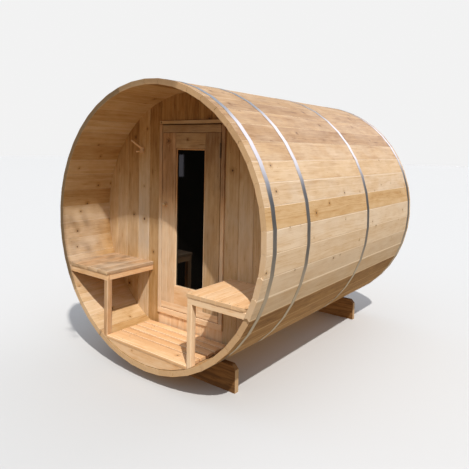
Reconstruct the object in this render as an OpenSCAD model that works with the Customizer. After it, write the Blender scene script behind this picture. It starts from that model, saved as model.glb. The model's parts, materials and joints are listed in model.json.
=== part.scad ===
// Barrel sauna: a coopered cabin with an open porch, lying in two cradles.
// Millimetres. X to the right seen from the porch, Y from the porch to the back, Z up.
// The origin is on the ground, under the middle of the barrel.

/* [Barrel] */
// Diameter across the outer corners of the staves
barrel_diameter = 1960; // [1700:10:2300]
// Length of the staves, from the porch rim to the back rim
barrel_length = 2390; // [1900:10:3600]
// Staves around the barrel
stave_count = 46; // [40:1:56]
// Thickness of a stave
stave_thickness = 38; // [30:1:50]
// Angle of the first stave joint above the right-hand horizontal, in degrees
stave_turn = 4.9; // [0:0.1:7]
// Open joint between two neighbouring staves
stave_gap = 0.5; // [0.3:0.1:1]
// Bevel on the long edges of a stave
stave_ease = 2; // [1:0.5:4]
// Radius of the bead along one edge of a stave
bead_radius = 10; // [7:0.5:13]
// Height of that bead above its edge
bead_height = 6; // [3:0.5:7]

/* [Hoops] */
// Width of a steel hoop
hoop_width = 38; // [20:1:60]
// Thickness of a steel hoop
hoop_thickness = 1.5; // [1:0.1:3]
// Play between a hoop and the staves
hoop_gap = 0.2; // [0.1:0.1:0.5]
// Middle of the first hoop, from the porch rim
first_hoop_from_porch = 79; // [50:1:200]
// Middle of the third hoop, from the porch rim
third_hoop_from_porch = 1396; // [900:1:1700]
// Angle of the tightening lugs, in degrees from the right-hand horizontal
lug_angle = 201; // [190:1:230]
// Height of a lug above the hoop
lug_height = 26; // [20:1:40]
// Thickness of a lug
lug_thickness = 4; // [3:0.5:6]
// Opening between the two lugs of a hoop
lug_opening = 24; // [16:1:40]
// Diameter of a tightening bolt
bolt_diameter = 8; // [6:1:12]
// Play of a bolt in its lugs
bolt_gap = 0.3; // [0.2:0.1:0.6]

/* [End walls] */
// Depth of the porch, from its rim to the face of the porch wall
porch_depth = 446; // [400:1:700]
// Thickness of the end walls
wall_thickness = 38; // [28:1:50]
// Distance from the back rim to the face of the back wall
back_wall_inset = 32; // [25:1:120]
// Depth of the croze, the groove in the staves that holds an end wall
croze_depth = 12; // [8:1:16]
// Play of an end wall in its croze
croze_gap = 0.3; // [0.2:0.1:1]

/* [Door frame] */
// Width of the jambs on the face
jamb_width = 32; // [25:1:60]
// Height of the head on the face
head_height = 30; // [25:1:60]
// Height of the sill on the face
sill_height = 45; // [30:1:70]
// Height of the sill above the floor
sill_above_floor = 76; // [40:1:120]
// How far the frame and the door stand out of the porch wall
frame_proud = 12; // [6:1:25]
// Width of the stop strips that the door closes towards
stop_width = 14; // [12:1:25]
// Thickness of the stop strips
stop_thickness = 16; // [10:1:25]

/* [Door] */
// Width of the door leaf
door_width = 574; // [540:1:600]
// Height of the roof above the door leaf, under the middle of the barrel
roof_above_door = 239; // [200:1:320]
// Thickness of the door leaf
door_thickness = 38; // [32:1:45]
// Clearance round the door leaf
door_gap = 5; // [4:0.5:8]
// Height of the top rail
top_rail_height = 60; // [50:1:90]
// Height of the bottom rail
bottom_rail_height = 50; // [40:1:90]
// Visible width of the glass
glass_width = 270; // [200:1:330]
// Height of the panel over the glass
upper_panel_height = 116; // [60:1:260]
// Height of the panel under the glass
lower_panel_height = 134; // [60:1:400]
// Thickness of the glass
glass_thickness = 8; // [6:1:12]
// Depth that the glass reaches into the wood
glass_seat = 8; // [6:1:14]
// Play of the glass in its groove
glass_gap = 0.3; // [0.2:0.1:0.6]
// Width of the bead strips round the glass
glazing_bead_width = 10; // [8:1:16]
// Distance of the bead strips behind the door's face
glazing_bead_set_back = 4; // [2:1:8]

/* [Door fittings] */
// Height of a hinge
hinge_height = 104; // [80:2:130]
// Distance of the hinges' middles from the top and bottom edges of the door
hinge_from_edge = 184; // [120:1:260]
// Outer radius of a hinge knuckle
knuckle_radius = 5.5; // [4.5:0.5:6]
// Radius of a hinge pin
hinge_pin_radius = 2.5; // [2:0.25:3]
// Play between a hinge pin and the door's knuckle
hinge_pin_play = 0.05; // [0.02:0.01:0.1]
// Play along the pin between two knuckles
knuckle_play = 0.5; // [0.3:0.1:1]
// Thickness of a hinge leaf
hinge_leaf_thickness = 2; // [1.5:0.1:2.2]
// Depth of a hinge leaf along the edge of the door
hinge_leaf_depth = 30; // [20:1:34]
// Distance of the hinge axis in front of the door's face
hinge_axis_proud = 6; // [6:0.5:9]
// Diameter of the turned wooden knob
knob_diameter = 32; // [25:1:45]
// How far the knob stands out of the door
knob_reach = 34; // [28:1:50]
// Distance of the knob from the free edge of the door
knob_from_edge = 42; // [30:1:90]
// Height of the knob above the barrel's axis
knob_above_axis = 98; // [-100:1:250]

/* [Floor] */
// Gap between the ends of the floor boards and the bench posts
floor_end_gap = 2; // [1:0.5:6]
// Thickness of the floor boards
floor_board_thickness = 22; // [18:1:32]
// Width of the board along the porch rim
front_board_width = 128; // [90:1:150]
// Width of the slats behind it
floor_slat_width = 64; // [50:1:90]
// Opening between two slats
floor_slat_gap = 10; // [6:1:16]
// Distance between the middles of the bearers under the floor
bearer_spacing = 500; // [400:10:600]
// Width of a bearer
bearer_width = 38; // [30:1:60]
// Thickness of the curved fascia under the porch edge
fascia_thickness = 22; // [18:1:38]

/* [Porch benches] */
// Clear passage between the two benches
aisle_width = 776; // [760:2:860]
// Height of the seats above the porch floor
seat_height = 463; // [400:1:500]
// Thickness of the seat boards
seat_board_thickness = 26; // [20:1:38]
// Boards in each seat
seat_board_count = 4; // [3:1:6]
// Opening between two seat boards
seat_board_gap = 2; // [1:0.5:10]
// Radius of a seat's front corner at the staves
seat_corner_radius = 45; // [20:1:70]
// How far the seat boards reach past the aprons
seat_overhang = 4; // [2:1:15]
// Height of the aprons under the seat boards
apron_height = 42; // [35:1:70]
// Thickness of the aprons and ledgers
apron_thickness = 22; // [18:1:38]
// Width of a post across the barrel
post_width = 38; // [30:1:60]
// Depth of a post along the barrel
post_depth = 42; // [30:1:60]

/* [Coat hook] */
// Distance of the hook to the left of the middle of the wall
hook_left = 529; // [420:1:640]
// Height of the hook above the barrel's axis
hook_above_axis = 507; // [300:1:560]
// Side of the hook's back block across the wall
hook_width = 20; // [16:1:30]
// Height of the back block
hook_block_height = 46; // [34:1:60]
// Thickness of the back block
hook_block_thickness = 16; // [12:1:24]
// Reach of the long prong along its own length
long_prong_length = 136; // [90:1:160]
// Rise of the long prong, in degrees
long_prong_rise = 30; // [15:1:45]
// Reach of the short prong
short_prong_length = 66; // [40:1:90]
// Diameter of the prongs
prong_diameter = 13; // [10:1:18]

/* [Cradles] */
// Height of the barrel above the ground
ground_clearance = 75; // [50:1:150]
// Length of a cradle across the barrel
cradle_length = 1160; // [1000:10:1300]
// Height of a cradle at its ends
cradle_height = 184; // [160:1:240]
// Thickness of a cradle
cradle_thickness = 38; // [32:1:80]
// Distance of the cradles from the rims
cradle_from_rim = 266; // [160:1:380]
// Bevel on the upper ends of a cradle
cradle_bevel = 30; // [10:1:60]
// Play between the barrel and a cradle
cradle_gap = 0.2; // [0.1:0.1:0.5]

/* [Hidden] */
$fn = 64;
joint_gap = 0.3;
slack = 1;
cedar = "#cf9a5e";
pale_cedar = "#dfb27c";
dark_cedar = "#a86f38";
steel = "#b9bcbd";
dark_steel = "#4a4744";
tinted = "#1d1a18";

barrel_radius = barrel_diameter / 2;
stave_pitch = 360 / stave_count;
outer_flat = barrel_radius * cos(stave_pitch / 2);
inner_flat = outer_flat - stave_thickness;
axis_z = barrel_radius + ground_clearance;
porch_rim = -barrel_length / 2;
back_rim = barrel_length / 2;

porch_wall_front = porch_rim + porch_depth;
porch_wall_back = porch_wall_front + wall_thickness;
back_wall_back = back_rim - back_wall_inset;
back_wall_front = back_wall_back - wall_thickness;
wall_radius = inner_flat + croze_depth - croze_gap;

first_hoop_y = porch_rim + first_hoop_from_porch;
second_hoop_y = (porch_wall_front + porch_wall_back) / 2;
third_hoop_y = porch_rim + third_hoop_from_porch;
fourth_hoop_y = (back_wall_front + back_wall_back) / 2;
hoop_flat = outer_flat + hoop_gap;
lug_top = barrel_radius + hoop_gap + hoop_thickness + lug_height;
bolt_height = lug_top - lug_height / 2;
bolt_head_height = bolt_diameter * 0.65;
bolt_head_diameter = bolt_diameter * 1.75;
bolt_tail = bolt_diameter;

// Height of the staves' inner face at a distance from the middle, below the axis.
function stave_floor(x) = axis_z - sqrt(inner_flat * inner_flat - x * x);

seat_inner = aisle_width / 2;
apron_inner = seat_inner + seat_overhang;
floor_half = apron_inner - floor_end_gap;
floor_bottom = stave_floor(floor_half) + joint_gap;
floor_top = floor_bottom + floor_board_thickness;
slat_pitch = floor_slat_width + floor_slat_gap;
porch_slats_start = porch_rim + front_board_width + floor_slat_gap;
porch_slat_count = floor((porch_wall_front - joint_gap - porch_slats_start + floor_slat_gap) / slat_pitch);
cabin_slats_start = porch_wall_back + floor_slat_gap;
cabin_slat_count = floor((back_wall_front - cabin_slats_start) / slat_pitch);

door_front = porch_wall_front - frame_proud;
door_back = door_front + door_thickness;
door_top = axis_z + inner_flat - roof_above_door;
sill_bottom = floor_top + sill_above_floor;
sill_top = sill_bottom + sill_height;
door_bottom = sill_top + door_gap;
door_half = door_width / 2;
jamb_inner = door_half + door_gap;
jamb_outer = jamb_inner + jamb_width;
head_bottom = door_top + door_gap;
head_top = head_bottom + head_height;
stop_front = door_back + door_gap;
frame_back = stop_front + stop_thickness;

pane_half = glass_width / 2 + glazing_bead_width;
glass_front = door_front + (door_thickness - glass_thickness) / 2;
top_rail_bottom = door_top - top_rail_height;
bottom_rail_top = door_bottom + bottom_rail_height;
pane_top = top_rail_bottom - upper_panel_height;
pane_bottom = bottom_rail_top + lower_panel_height;

hinge_x = door_half + door_gap / 2;
hinge_y = door_front - hinge_axis_proud;
hinge_levels = [door_bottom + hinge_from_edge, door_top - hinge_from_edge];
knuckle_height = hinge_height / 3;

seat_top = floor_top + seat_height;
seat_bottom = seat_top - seat_board_thickness;
apron_bottom = seat_bottom - apron_height;
seat_outer = sqrt(inner_flat * inner_flat - pow(axis_z - seat_top, 2));
seat_board_pitch = (seat_outer - seat_inner + seat_board_gap) / seat_board_count;
apron_front = porch_rim + seat_overhang;
bench_back = porch_wall_front - joint_gap;

stave_groups = 8;

// Stands an outline drawn in the XZ plane on end, from one Y to another.
module along_y(from, to) {
  translate([0, to, 0]) rotate([90, 0, 0]) linear_extrude(height = to - from) children();
}

// A box between two corners.
module block(low, high) {
  translate(low) cube(high - low);
}

// The many-sided section of the barrel, measured to the middle of its flats.
module barrel_section(flat) {
  corner = flat / cos(stave_pitch / 2);
  translate([0, axis_z])
    polygon([for (i = [0 : stave_count - 1])
      corner * [cos(stave_turn + i * stave_pitch), sin(stave_turn + i * stave_pitch)]]);
}

// The space inside the staves, short of them by a joint.
module inside_staves() {
  along_y(porch_rim, back_rim) barrel_section(inner_flat - joint_gap);
}

// Half of a stave's width at a radius, between its radial edges.
function stave_half(r) = r * tan(stave_pitch / 2) - stave_gap / 2 / cos(stave_pitch / 2);

// One stave on end: a wedge with a bead along one edge and a cove along the other.
module stave_section() {
  bead_centre = [(inner_flat + outer_flat) / 2, bead_height - bead_radius];
  edge = [
    [inner_flat, stave_half(inner_flat) - stave_ease],
    [inner_flat + stave_ease, stave_half(inner_flat + stave_ease)],
    [outer_flat - stave_ease, stave_half(outer_flat - stave_ease)],
    [outer_flat, stave_half(outer_flat) - stave_ease]];
  mirrored = [for (i = [3 : -1 : 0]) [edge[i].x, -edge[i].y]];
  difference() {
    union() {
      polygon(concat(edge, mirrored));
      rotate(stave_pitch / 2) translate(bead_centre) circle(r = bead_radius);
    }
    rotate(-stave_pitch / 2) translate(bead_centre) circle(r = bead_radius + stave_gap);
  }
}

// The straight groove that a stave has for an end wall.
module croze(from, to) {
  half = stave_half(outer_flat) + bead_radius;
  block([inner_flat - slack, from - croze_gap, -half], [inner_flat + croze_depth, to + croze_gap, half]);
}

module stave(index) {
  turn = stave_turn + (index + 0.5) * stave_pitch;
  translate([0, 0, axis_z]) rotate([0, -turn, 0]) difference() {
    along_y(porch_rim, back_rim) stave_section();
    croze(porch_wall_front, porch_wall_back);
    croze(back_wall_front, back_wall_back);
  }
}

module stave_group(group) {
  first = floor(group * stave_count / stave_groups);
  last = floor((group + 1) * stave_count / stave_groups) - 1;
  color(group % 2 == 0 ? cedar : pale_cedar)
    for (index = [first : last]) stave(index);
}

// A flat band drawn tight over the staves, cut open between two lugs.
module hoop(middle) {
  from = middle - hoop_width / 2;
  to = middle + hoop_width / 2;
  lug_foot = hoop_flat;
  color(steel) difference() {
    union() {
      along_y(from, to) difference() {
        barrel_section(hoop_flat + hoop_thickness);
        barrel_section(hoop_flat);
      }
      at_lugs() for (side = [-1, 1])
        translate([0, 0, side * (lug_opening + lug_thickness) / 2])
          difference() {
            block([lug_foot, from, -lug_thickness / 2], [lug_top, to, lug_thickness / 2]);
            translate([bolt_height, middle, -lug_thickness])
              cylinder(r = bolt_diameter / 2 + bolt_gap, h = 2 * lug_thickness);
          }
    }
    at_lugs() block([inner_flat, from - slack, -lug_opening / 2], [lug_top + slack, to + slack, lug_opening / 2]);
    along_y(from - slack, to + slack) barrel_section(hoop_flat);
  }
}

// Turns X outwards and Z along the band, at the place of the lugs.
module at_lugs() {
  translate([0, 0, axis_z]) rotate([0, -lug_angle, 0]) children();
}

// A hexagon bolt and nut that draw the two lugs of a hoop together.
module hoop_bolt(middle) {
  outer = lug_opening / 2 + lug_thickness;
  at_lugs() translate([bolt_height, middle, 0]) {
    translate([0, 0, -outer - bolt_tail]) cylinder(r = bolt_diameter / 2, h = 2 * outer + bolt_tail + slack);
    translate([0, 0, outer]) cylinder(d = bolt_head_diameter, h = bolt_head_height, $fn = 6);
    translate([0, 0, -outer - bolt_head_height])
      cylinder(d = bolt_head_diameter, h = bolt_head_height, $fn = 6);
  }
}

module hoop_bolts() {
  color(dark_steel)
    for (middle = [first_hoop_y, second_hoop_y, third_hoop_y, fourth_hoop_y]) hoop_bolt(middle);
}

// The part of the round porch wall inside a box across X and Z.
module porch_wall(low, high) {
  along_y(porch_wall_front, porch_wall_back) intersection() {
    translate([0, axis_z]) circle(r = wall_radius, $fn = 128);
    translate(low) square(high - low);
  }
}

module porch_wall_left() {
  color(dark_cedar) porch_wall([-barrel_radius, 0], [-jamb_outer, 2 * axis_z]);
}

module porch_wall_right() {
  color(dark_cedar) porch_wall([jamb_outer, 0], [barrel_radius, 2 * axis_z]);
}

module porch_wall_over_door() {
  color(dark_cedar) porch_wall([-jamb_outer, head_top], [jamb_outer, 2 * axis_z]);
}

module porch_wall_under_door() {
  color(cedar) porch_wall([-jamb_outer, 0], [jamb_outer, sill_bottom]);
}

module back_wall() {
  color(dark_cedar) along_y(back_wall_front, back_wall_back)
    translate([0, axis_z]) circle(r = wall_radius, $fn = 128);
}

module door_jambs() {
  color(cedar) for (side = [-1, 1])
    scale_x(side) block([jamb_inner, door_front, sill_top], [jamb_outer, frame_back, head_bottom]);
}

// Mirrors to the left for a side of -1.
module scale_x(side) {
  if (side < 0) mirror([1, 0, 0]) children();
  else children();
}

module door_head() {
  color(cedar) block([-jamb_outer, door_front, head_bottom], [jamb_outer, frame_back, head_top]);
}

module door_sill() {
  color(pale_cedar) block([-jamb_outer, door_front, sill_bottom], [jamb_outer, frame_back, sill_top]);
}

module door_stops() {
  color(cedar) {
    for (side = [-1, 1])
      scale_x(side) block([jamb_inner - stop_width, stop_front, sill_top], [jamb_inner, frame_back, head_bottom]);
    across = jamb_inner - stop_width - joint_gap;
    block([-across, stop_front, head_bottom - stop_width], [across, frame_back, head_bottom]);
  }
}

module door_top_rail() {
  color(pale_cedar) block([-door_half, door_front, top_rail_bottom], [door_half, door_back, door_top]);
}

module door_bottom_rail() {
  color(pale_cedar) block([-door_half, door_front, door_bottom], [door_half, door_back, bottom_rail_top]);
}

// The groove in the door that the glass is let into.
module glass_groove() {
  reach = glass_seat + glass_gap;
  block([-pane_half - reach, glass_front - glass_gap, pane_bottom - reach],
        [pane_half + reach, glass_front + glass_thickness + glass_gap, pane_top + reach]);
}

module door_stile(side) {
  color(cedar) difference() {
    scale_x(side) block([pane_half, door_front, bottom_rail_top], [door_half, door_back, top_rail_bottom]);
    glass_groove();
  }
}

module door_hinge_stile() {
  door_stile(1);
}

module door_latch_stile() {
  door_stile(-1);
}

module door_upper_panel() {
  color(cedar) difference() {
    block([-pane_half, door_front, pane_top], [pane_half, door_back, top_rail_bottom]);
    glass_groove();
  }
}

module door_lower_panel() {
  color(cedar) difference() {
    block([-pane_half, door_front, bottom_rail_top], [pane_half, door_back, pane_bottom]);
    glass_groove();
  }
}

module door_glass() {
  color(tinted)
    block([-pane_half - glass_seat, glass_front, pane_bottom - glass_seat],
          [pane_half + glass_seat, glass_front + glass_thickness, pane_top + glass_seat]);
}

// Strips that cover the edge of the glass, uprights first and short strips between them.
module door_glazing_beads() {
  front = door_front + glazing_bead_set_back;
  back = glass_front - joint_gap;
  inner = pane_half - glazing_bead_width;
  across = inner - joint_gap;
  color(pale_cedar) {
    for (side = [-1, 1])
      scale_x(side) block([inner, front, pane_bottom], [pane_half, back, pane_top]);
    block([-across, front, pane_top - glazing_bead_width], [across, back, pane_top]);
    block([-across, front, pane_bottom], [across, back, pane_bottom + glazing_bead_width]);
  }
}

// A turned knob: a neck, a rounded head and a small flat at its end.
module door_knob() {
  neck = knob_diameter * 0.28;
  head = knob_diameter / 2;
  color(pale_cedar)
    translate([knob_from_edge - door_half, door_front, axis_z + knob_above_axis]) rotate([90, 0, 0]) {
      cylinder(r = head * 0.75, h = knob_reach / 8);
      cylinder(r = neck, h = knob_reach - head);
      translate([0, 0, knob_reach - head]) intersection() {
        sphere(r = head);
        translate([0, 0, -head * 0.8]) cylinder(r = head, h = head * 1.7);
      }
    }
}

// The knuckles of a hinge that belong to one leaf, grown by a play for its partner.
module knuckles(level, places, grow, stretch) {
  for (place = places)
    translate([hinge_x, hinge_y, level + place * knuckle_height - knuckle_height / 2 + knuckle_play / 2 - stretch])
      cylinder(r = knuckle_radius + grow, h = knuckle_height - knuckle_play + 2 * stretch);
}

// One leaf of a hinge, in the gap at the edge of the door, with its own knuckles.
module hinge_leaf(level, from_x, own, other, bore) {
  difference() {
    union() {
      block([from_x, hinge_y, level - hinge_height / 2 + knuckle_play / 2],
            [from_x + hinge_leaf_thickness, door_front + hinge_leaf_depth, level + hinge_height / 2 - knuckle_play / 2]);
      knuckles(level, own, 0, 0);
    }
    knuckles(level, other, knuckle_play, knuckle_play);
    translate([hinge_x, hinge_y, level - hinge_height]) cylinder(r = bore, h = 2 * hinge_height);
  }
}

module hinge_frame_leaves() {
  color(dark_steel) for (level = hinge_levels)
    hinge_leaf(level, jamb_inner - hinge_leaf_thickness, [-1, 1], [0], hinge_pin_radius);
}

module hinge_door_leaves() {
  color(dark_steel) for (level = hinge_levels)
    hinge_leaf(level, door_half, [0], [-1, 1], hinge_pin_radius + hinge_pin_play);
}

module hinge_pins() {
  color(steel) for (level = hinge_levels)
    translate([hinge_x, hinge_y, level - hinge_height / 2])
      cylinder(r = hinge_pin_radius, h = hinge_height);
}

module floor_slat(from, width) {
  block([-floor_half, from, floor_bottom], [floor_half, from + width, floor_top]);
}

module porch_floor() {
  color(pale_cedar) {
    floor_slat(porch_rim, front_board_width);
    for (i = [0 : porch_slat_count - 1]) floor_slat(porch_slats_start + i * slat_pitch, floor_slat_width);
  }
}

module cabin_floor() {
  color(cedar)
    for (i = [0 : cabin_slat_count - 1]) floor_slat(cabin_slats_start + i * slat_pitch, floor_slat_width);
}

module porch_fascia() {
  color(cedar) intersection() {
    block([-floor_half, porch_rim, 0], [floor_half, porch_rim + fascia_thickness, floor_bottom]);
    inside_staves();
  }
}

module floor_bearers() {
  color(cedar) intersection() {
    for (side = [-1, 1], run = [[porch_rim + fascia_thickness + joint_gap, porch_wall_front - joint_gap],
                                [porch_wall_back + joint_gap, back_wall_front - joint_gap]])
      block([side * bearer_spacing / 2 - bearer_width / 2, run[0], 0],
            [side * bearer_spacing / 2 + bearer_width / 2, run[1], floor_bottom]);
    inside_staves();
  }
}

// A seat from above, with its front corner rounded where it meets the staves.
module seat_plan() {
  corner = [seat_outer - seat_corner_radius, porch_rim + seat_corner_radius];
  translate([seat_inner, porch_rim]) square([corner.x - seat_inner, bench_back - porch_rim]);
  translate([seat_inner, corner.y]) square([seat_outer - seat_inner, bench_back - corner.y]);
  translate(corner) circle(r = seat_corner_radius);
}

// The boards of one seat, the outer one cut to the staves.
module seat(side) {
  board_width = seat_board_pitch - seat_board_gap;
  color(pale_cedar) scale_x_inside(side)
    translate([0, 0, seat_bottom]) linear_extrude(height = seat_board_thickness)
      for (i = [0 : seat_board_count - 1]) intersection() {
        seat_plan();
        translate([seat_inner + i * seat_board_pitch, porch_rim]) square([board_width, porch_depth]);
      }
}

// Mirrors a piece to its side and cuts it to the space inside the staves.
module scale_x_inside(side) {
  intersection() {
    scale_x(side) children();
    inside_staves();
  }
}

module left_seat() {
  seat(-1);
}

module right_seat() {
  seat(1);
}

module bench_aprons() {
  color(pale_cedar) for (side = [-1, 1]) scale_x_inside(side) {
    block([apron_inner, apron_front, apron_bottom], [seat_outer, apron_front + apron_thickness, seat_bottom]);
    block([apron_inner, apron_front + apron_thickness + joint_gap, apron_bottom],
          [apron_inner + apron_thickness, bench_back, seat_bottom]);
  }
}

module bench_ledgers() {
  from = apron_inner + apron_thickness + joint_gap;
  color(cedar) for (side = [-1, 1]) scale_x_inside(side)
    block([from, bench_back - apron_thickness, apron_bottom], [seat_outer, bench_back, seat_bottom]);
}

module bench_posts() {
  color(pale_cedar) for (side = [-1, 1]) scale_x_inside(side)
    block([apron_inner, apron_front, 0], [apron_inner + post_width, apron_front + post_depth, apron_bottom]);
}

// A turned prong with a round end, along -Y.
module prong(length) {
  rotate([90, 0, 0]) {
    cylinder(d = prong_diameter, h = length - prong_diameter / 2);
    translate([0, 0, length - prong_diameter / 2]) sphere(d = prong_diameter);
  }
}

module coat_hook() {
  low = hook_above_axis - hook_block_height / 2;
  color(pale_cedar) translate([-hook_left, porch_wall_front, axis_z]) difference() {
    union() {
      block([-hook_width / 2, -hook_block_thickness, low],
            [hook_width / 2, 0, low + hook_block_height]);
      translate([0, 0, hook_above_axis + prong_diameter / 2]) rotate([-long_prong_rise, 0, 0]) prong(long_prong_length);
      translate([0, 0, hook_above_axis - prong_diameter]) prong(short_prong_length);
    }
    block([-hook_width, 0, low - hook_block_height], [hook_width, wall_thickness, low + 2 * hook_block_height]);
  }
}

// A plank on edge, hollowed to the barrel, with bevelled upper ends.
module cradle(from) {
  half = cradle_length / 2;
  shoulder = cradle_height - cradle_bevel;
  color(dark_cedar) along_y(from, from + cradle_thickness) difference() {
    polygon([[-half, 0], [half, 0], [half, shoulder], [half - cradle_bevel, cradle_height],
             [cradle_bevel - half, cradle_height], [-half, shoulder]]);
    barrel_section(outer_flat + cradle_gap);
  }
}

module front_cradle() {
  cradle(porch_rim + cradle_from_rim);
}

module rear_cradle() {
  cradle(back_rim - cradle_from_rim - cradle_thickness);
}

stave_group(0);  // staves_right_upper
stave_group(1);  // staves_roof_right
stave_group(2);  // staves_roof_left
stave_group(3);  // staves_left_upper
stave_group(4);  // staves_left_lower
stave_group(5);  // staves_bottom_left
stave_group(6);  // staves_bottom_right
stave_group(7);  // staves_right_lower
hoop(first_hoop_y);  // porch_hoop
hoop(second_hoop_y);  // wall_hoop
hoop(third_hoop_y);  // cabin_hoop
hoop(fourth_hoop_y);  // back_hoop
hoop_bolts();
porch_wall_left();
porch_wall_right();
porch_wall_over_door();
porch_wall_under_door();
back_wall();
door_jambs();
door_head();
door_sill();
door_stops();
door_top_rail();
door_bottom_rail();
door_hinge_stile();
door_latch_stile();
door_upper_panel();
door_lower_panel();
door_glass();
door_glazing_beads();
door_knob();
hinge_frame_leaves();
hinge_door_leaves();
hinge_pins();
porch_floor();
porch_fascia();
floor_bearers();
cabin_floor();
left_seat();
right_seat();
bench_aprons();
bench_ledgers();
bench_posts();
coat_hook();
front_cradle();
rear_cradle();
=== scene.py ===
# %% [markdown]
# A barrel sauna in Blender
#
# The sauna is a large wooden barrel that lies on its side. Its construction is already made as exact
# solids, and this lesson dresses them: every stave, wall board, slat and seat board becomes a board of its
# own, with eased edges, tongue lines, grain, knots and screws. The solids are loaded first and never moved,
# so each board takes its place from them.

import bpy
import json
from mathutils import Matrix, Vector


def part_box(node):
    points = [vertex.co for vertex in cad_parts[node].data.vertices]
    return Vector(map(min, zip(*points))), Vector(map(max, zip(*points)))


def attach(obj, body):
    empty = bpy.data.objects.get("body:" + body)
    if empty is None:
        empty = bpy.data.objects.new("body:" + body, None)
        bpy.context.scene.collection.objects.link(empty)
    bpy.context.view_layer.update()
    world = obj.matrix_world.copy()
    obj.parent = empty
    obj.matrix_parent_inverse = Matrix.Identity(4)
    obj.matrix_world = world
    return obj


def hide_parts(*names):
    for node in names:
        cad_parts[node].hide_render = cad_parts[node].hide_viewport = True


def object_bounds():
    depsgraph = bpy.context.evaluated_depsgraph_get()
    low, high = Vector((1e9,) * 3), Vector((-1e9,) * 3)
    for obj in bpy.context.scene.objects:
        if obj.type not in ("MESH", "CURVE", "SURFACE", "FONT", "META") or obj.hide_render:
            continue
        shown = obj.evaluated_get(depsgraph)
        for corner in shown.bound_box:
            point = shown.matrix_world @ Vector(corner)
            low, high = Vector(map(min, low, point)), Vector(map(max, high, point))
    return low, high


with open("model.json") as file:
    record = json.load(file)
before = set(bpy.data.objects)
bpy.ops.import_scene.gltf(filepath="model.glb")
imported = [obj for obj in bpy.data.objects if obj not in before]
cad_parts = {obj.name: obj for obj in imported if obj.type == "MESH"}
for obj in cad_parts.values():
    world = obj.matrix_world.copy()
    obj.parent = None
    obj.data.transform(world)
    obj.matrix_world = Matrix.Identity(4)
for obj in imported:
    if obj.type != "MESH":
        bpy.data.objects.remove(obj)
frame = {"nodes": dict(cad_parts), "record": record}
cad_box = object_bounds()

# %% Tools of the lesson
import json
import math
import random

import bmesh
import bpy
from mathutils import Matrix, Vector

ACROSS, DEEP, UPWARDS = range(3)
AXES = [Vector(row) for row in Matrix.Identity(3)]


def place_with(x_axis, y_axis, z_axis, origin):
    """A place in the world, given by where its three axes point and where it starts."""
    return Matrix.Translation(origin) @ Matrix((x_axis, y_axis, z_axis)).transposed().to_4x4()


print("made with Blender", bpy.app.version_string)

# %% [markdown]
# The camera
#
# The barrel is seen from the front right, at about eye height. A picture that is cropped from a larger
# one has its vanishing point off the middle, so the camera has a small vertical shift instead of a steeper
# tilt, and the uprights stay upright.

# %% Camera
EYE = Vector((2.4309, -3.3829, 1.5858))
YAW, PITCH_DOWN, ROLL = 0.6562, 0.0536, 0.0209
LENS_MM, SENSOR_MM, SHIFT_UP = 37.36, 36.0, -0.127

level_ahead = Vector((-math.sin(YAW), math.cos(YAW), 0.0))
level_right = Vector((math.cos(YAW), math.sin(YAW), 0.0))
ahead = math.cos(PITCH_DOWN) * level_ahead - math.sin(PITCH_DOWN) * AXES[UPWARDS]
upright = level_right.cross(ahead)
camera_right = math.cos(ROLL) * level_right + math.sin(ROLL) * upright
camera_up = math.cos(ROLL) * upright - math.sin(ROLL) * level_right

camera = bpy.data.objects.new("camera", bpy.data.cameras.new("camera"))
camera.data.lens, camera.data.sensor_width, camera.data.shift_y = LENS_MM, SENSOR_MM, SHIFT_UP
camera.matrix_world = place_with(camera_right, camera_up, -ahead, EYE)
bpy.context.collection.objects.link(camera)
bpy.context.scene.camera = camera
print("camera at", [round(value, 2) for value in EYE])

# %% [markdown]
# Shader maths as Python maths
#
# A shader could be wired by hand, one node at a time. A finish of many nodes is easier to read as a formula,
# so one small class wraps a socket: adding or multiplying two wires adds the Math node that does it, and one
# method adds a node of any other kind.

# %% The wire class
class Wire:
    """One output of a node. Sums and products of wires become Math nodes."""

    def __init__(self, tree, socket=None):
        self.tree = tree
        self.socket = socket

    def node(self, kind, settings=None, sockets=None, out=0):
        """Add a node: its settings first, then the values or links of its sockets."""
        added = self.tree.nodes.new(kind)
        for key, value in (settings or {}).items():
            if key == "stops":
                set_stops(added.color_ramp.elements, value)
            else:
                setattr(added, key, value)
        for key, value in (sockets or {}).items():
            if isinstance(value, Wire):
                self.tree.links.new(value.socket, added.inputs[key])
            else:
                added.inputs[key].default_value = value
        return Wire(self.tree, added.outputs[out] if added.outputs else None)

    def also(self, out):
        """Another output of the same node."""
        return Wire(self.tree, self.socket.node.outputs[out])

    def math(self, operation, *values):
        """One Math node of these values and wires."""
        return self.node("ShaderNodeMath", {"operation": operation}, dict(enumerate(values)))

    def parts(self):
        """The X, Y and Z of a vector as three wires."""
        split = self.node("ShaderNodeSeparateXYZ", sockets={0: self})
        return [split.also(axis) for axis in range(3)]

    def __add__(self, other):
        return self.math("ADD", self, other)

    def __sub__(self, other):
        return self.math("SUBTRACT", self, other)

    def __rsub__(self, other):
        return self.math("SUBTRACT", other, self)

    def __mul__(self, other):
        return self.math("MULTIPLY", self, other)

    def __truediv__(self, other):
        return self.math("DIVIDE", self, other)

    def __rtruediv__(self, other):
        return self.math("DIVIDE", other, self)

    __radd__ = __add__
    __rmul__ = __mul__


def set_stops(elements, stops):
    """Give a colour ramp its stops, as pairs of place and colour."""
    while len(elements) < len(stops):
        elements.new(1.0)
    for element, (place, colour) in zip(elements, stops):
        element.position = place
        element.color = (*colour, 1.0)


# %% Helpers for finishes
def new_finish(name):
    """An empty material, and the wire that its nodes are added from."""
    material = bpy.data.materials.new(name)
    material.use_nodes = True
    material.node_tree.nodes.clear()
    return material, Wire(material.node_tree)


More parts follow.
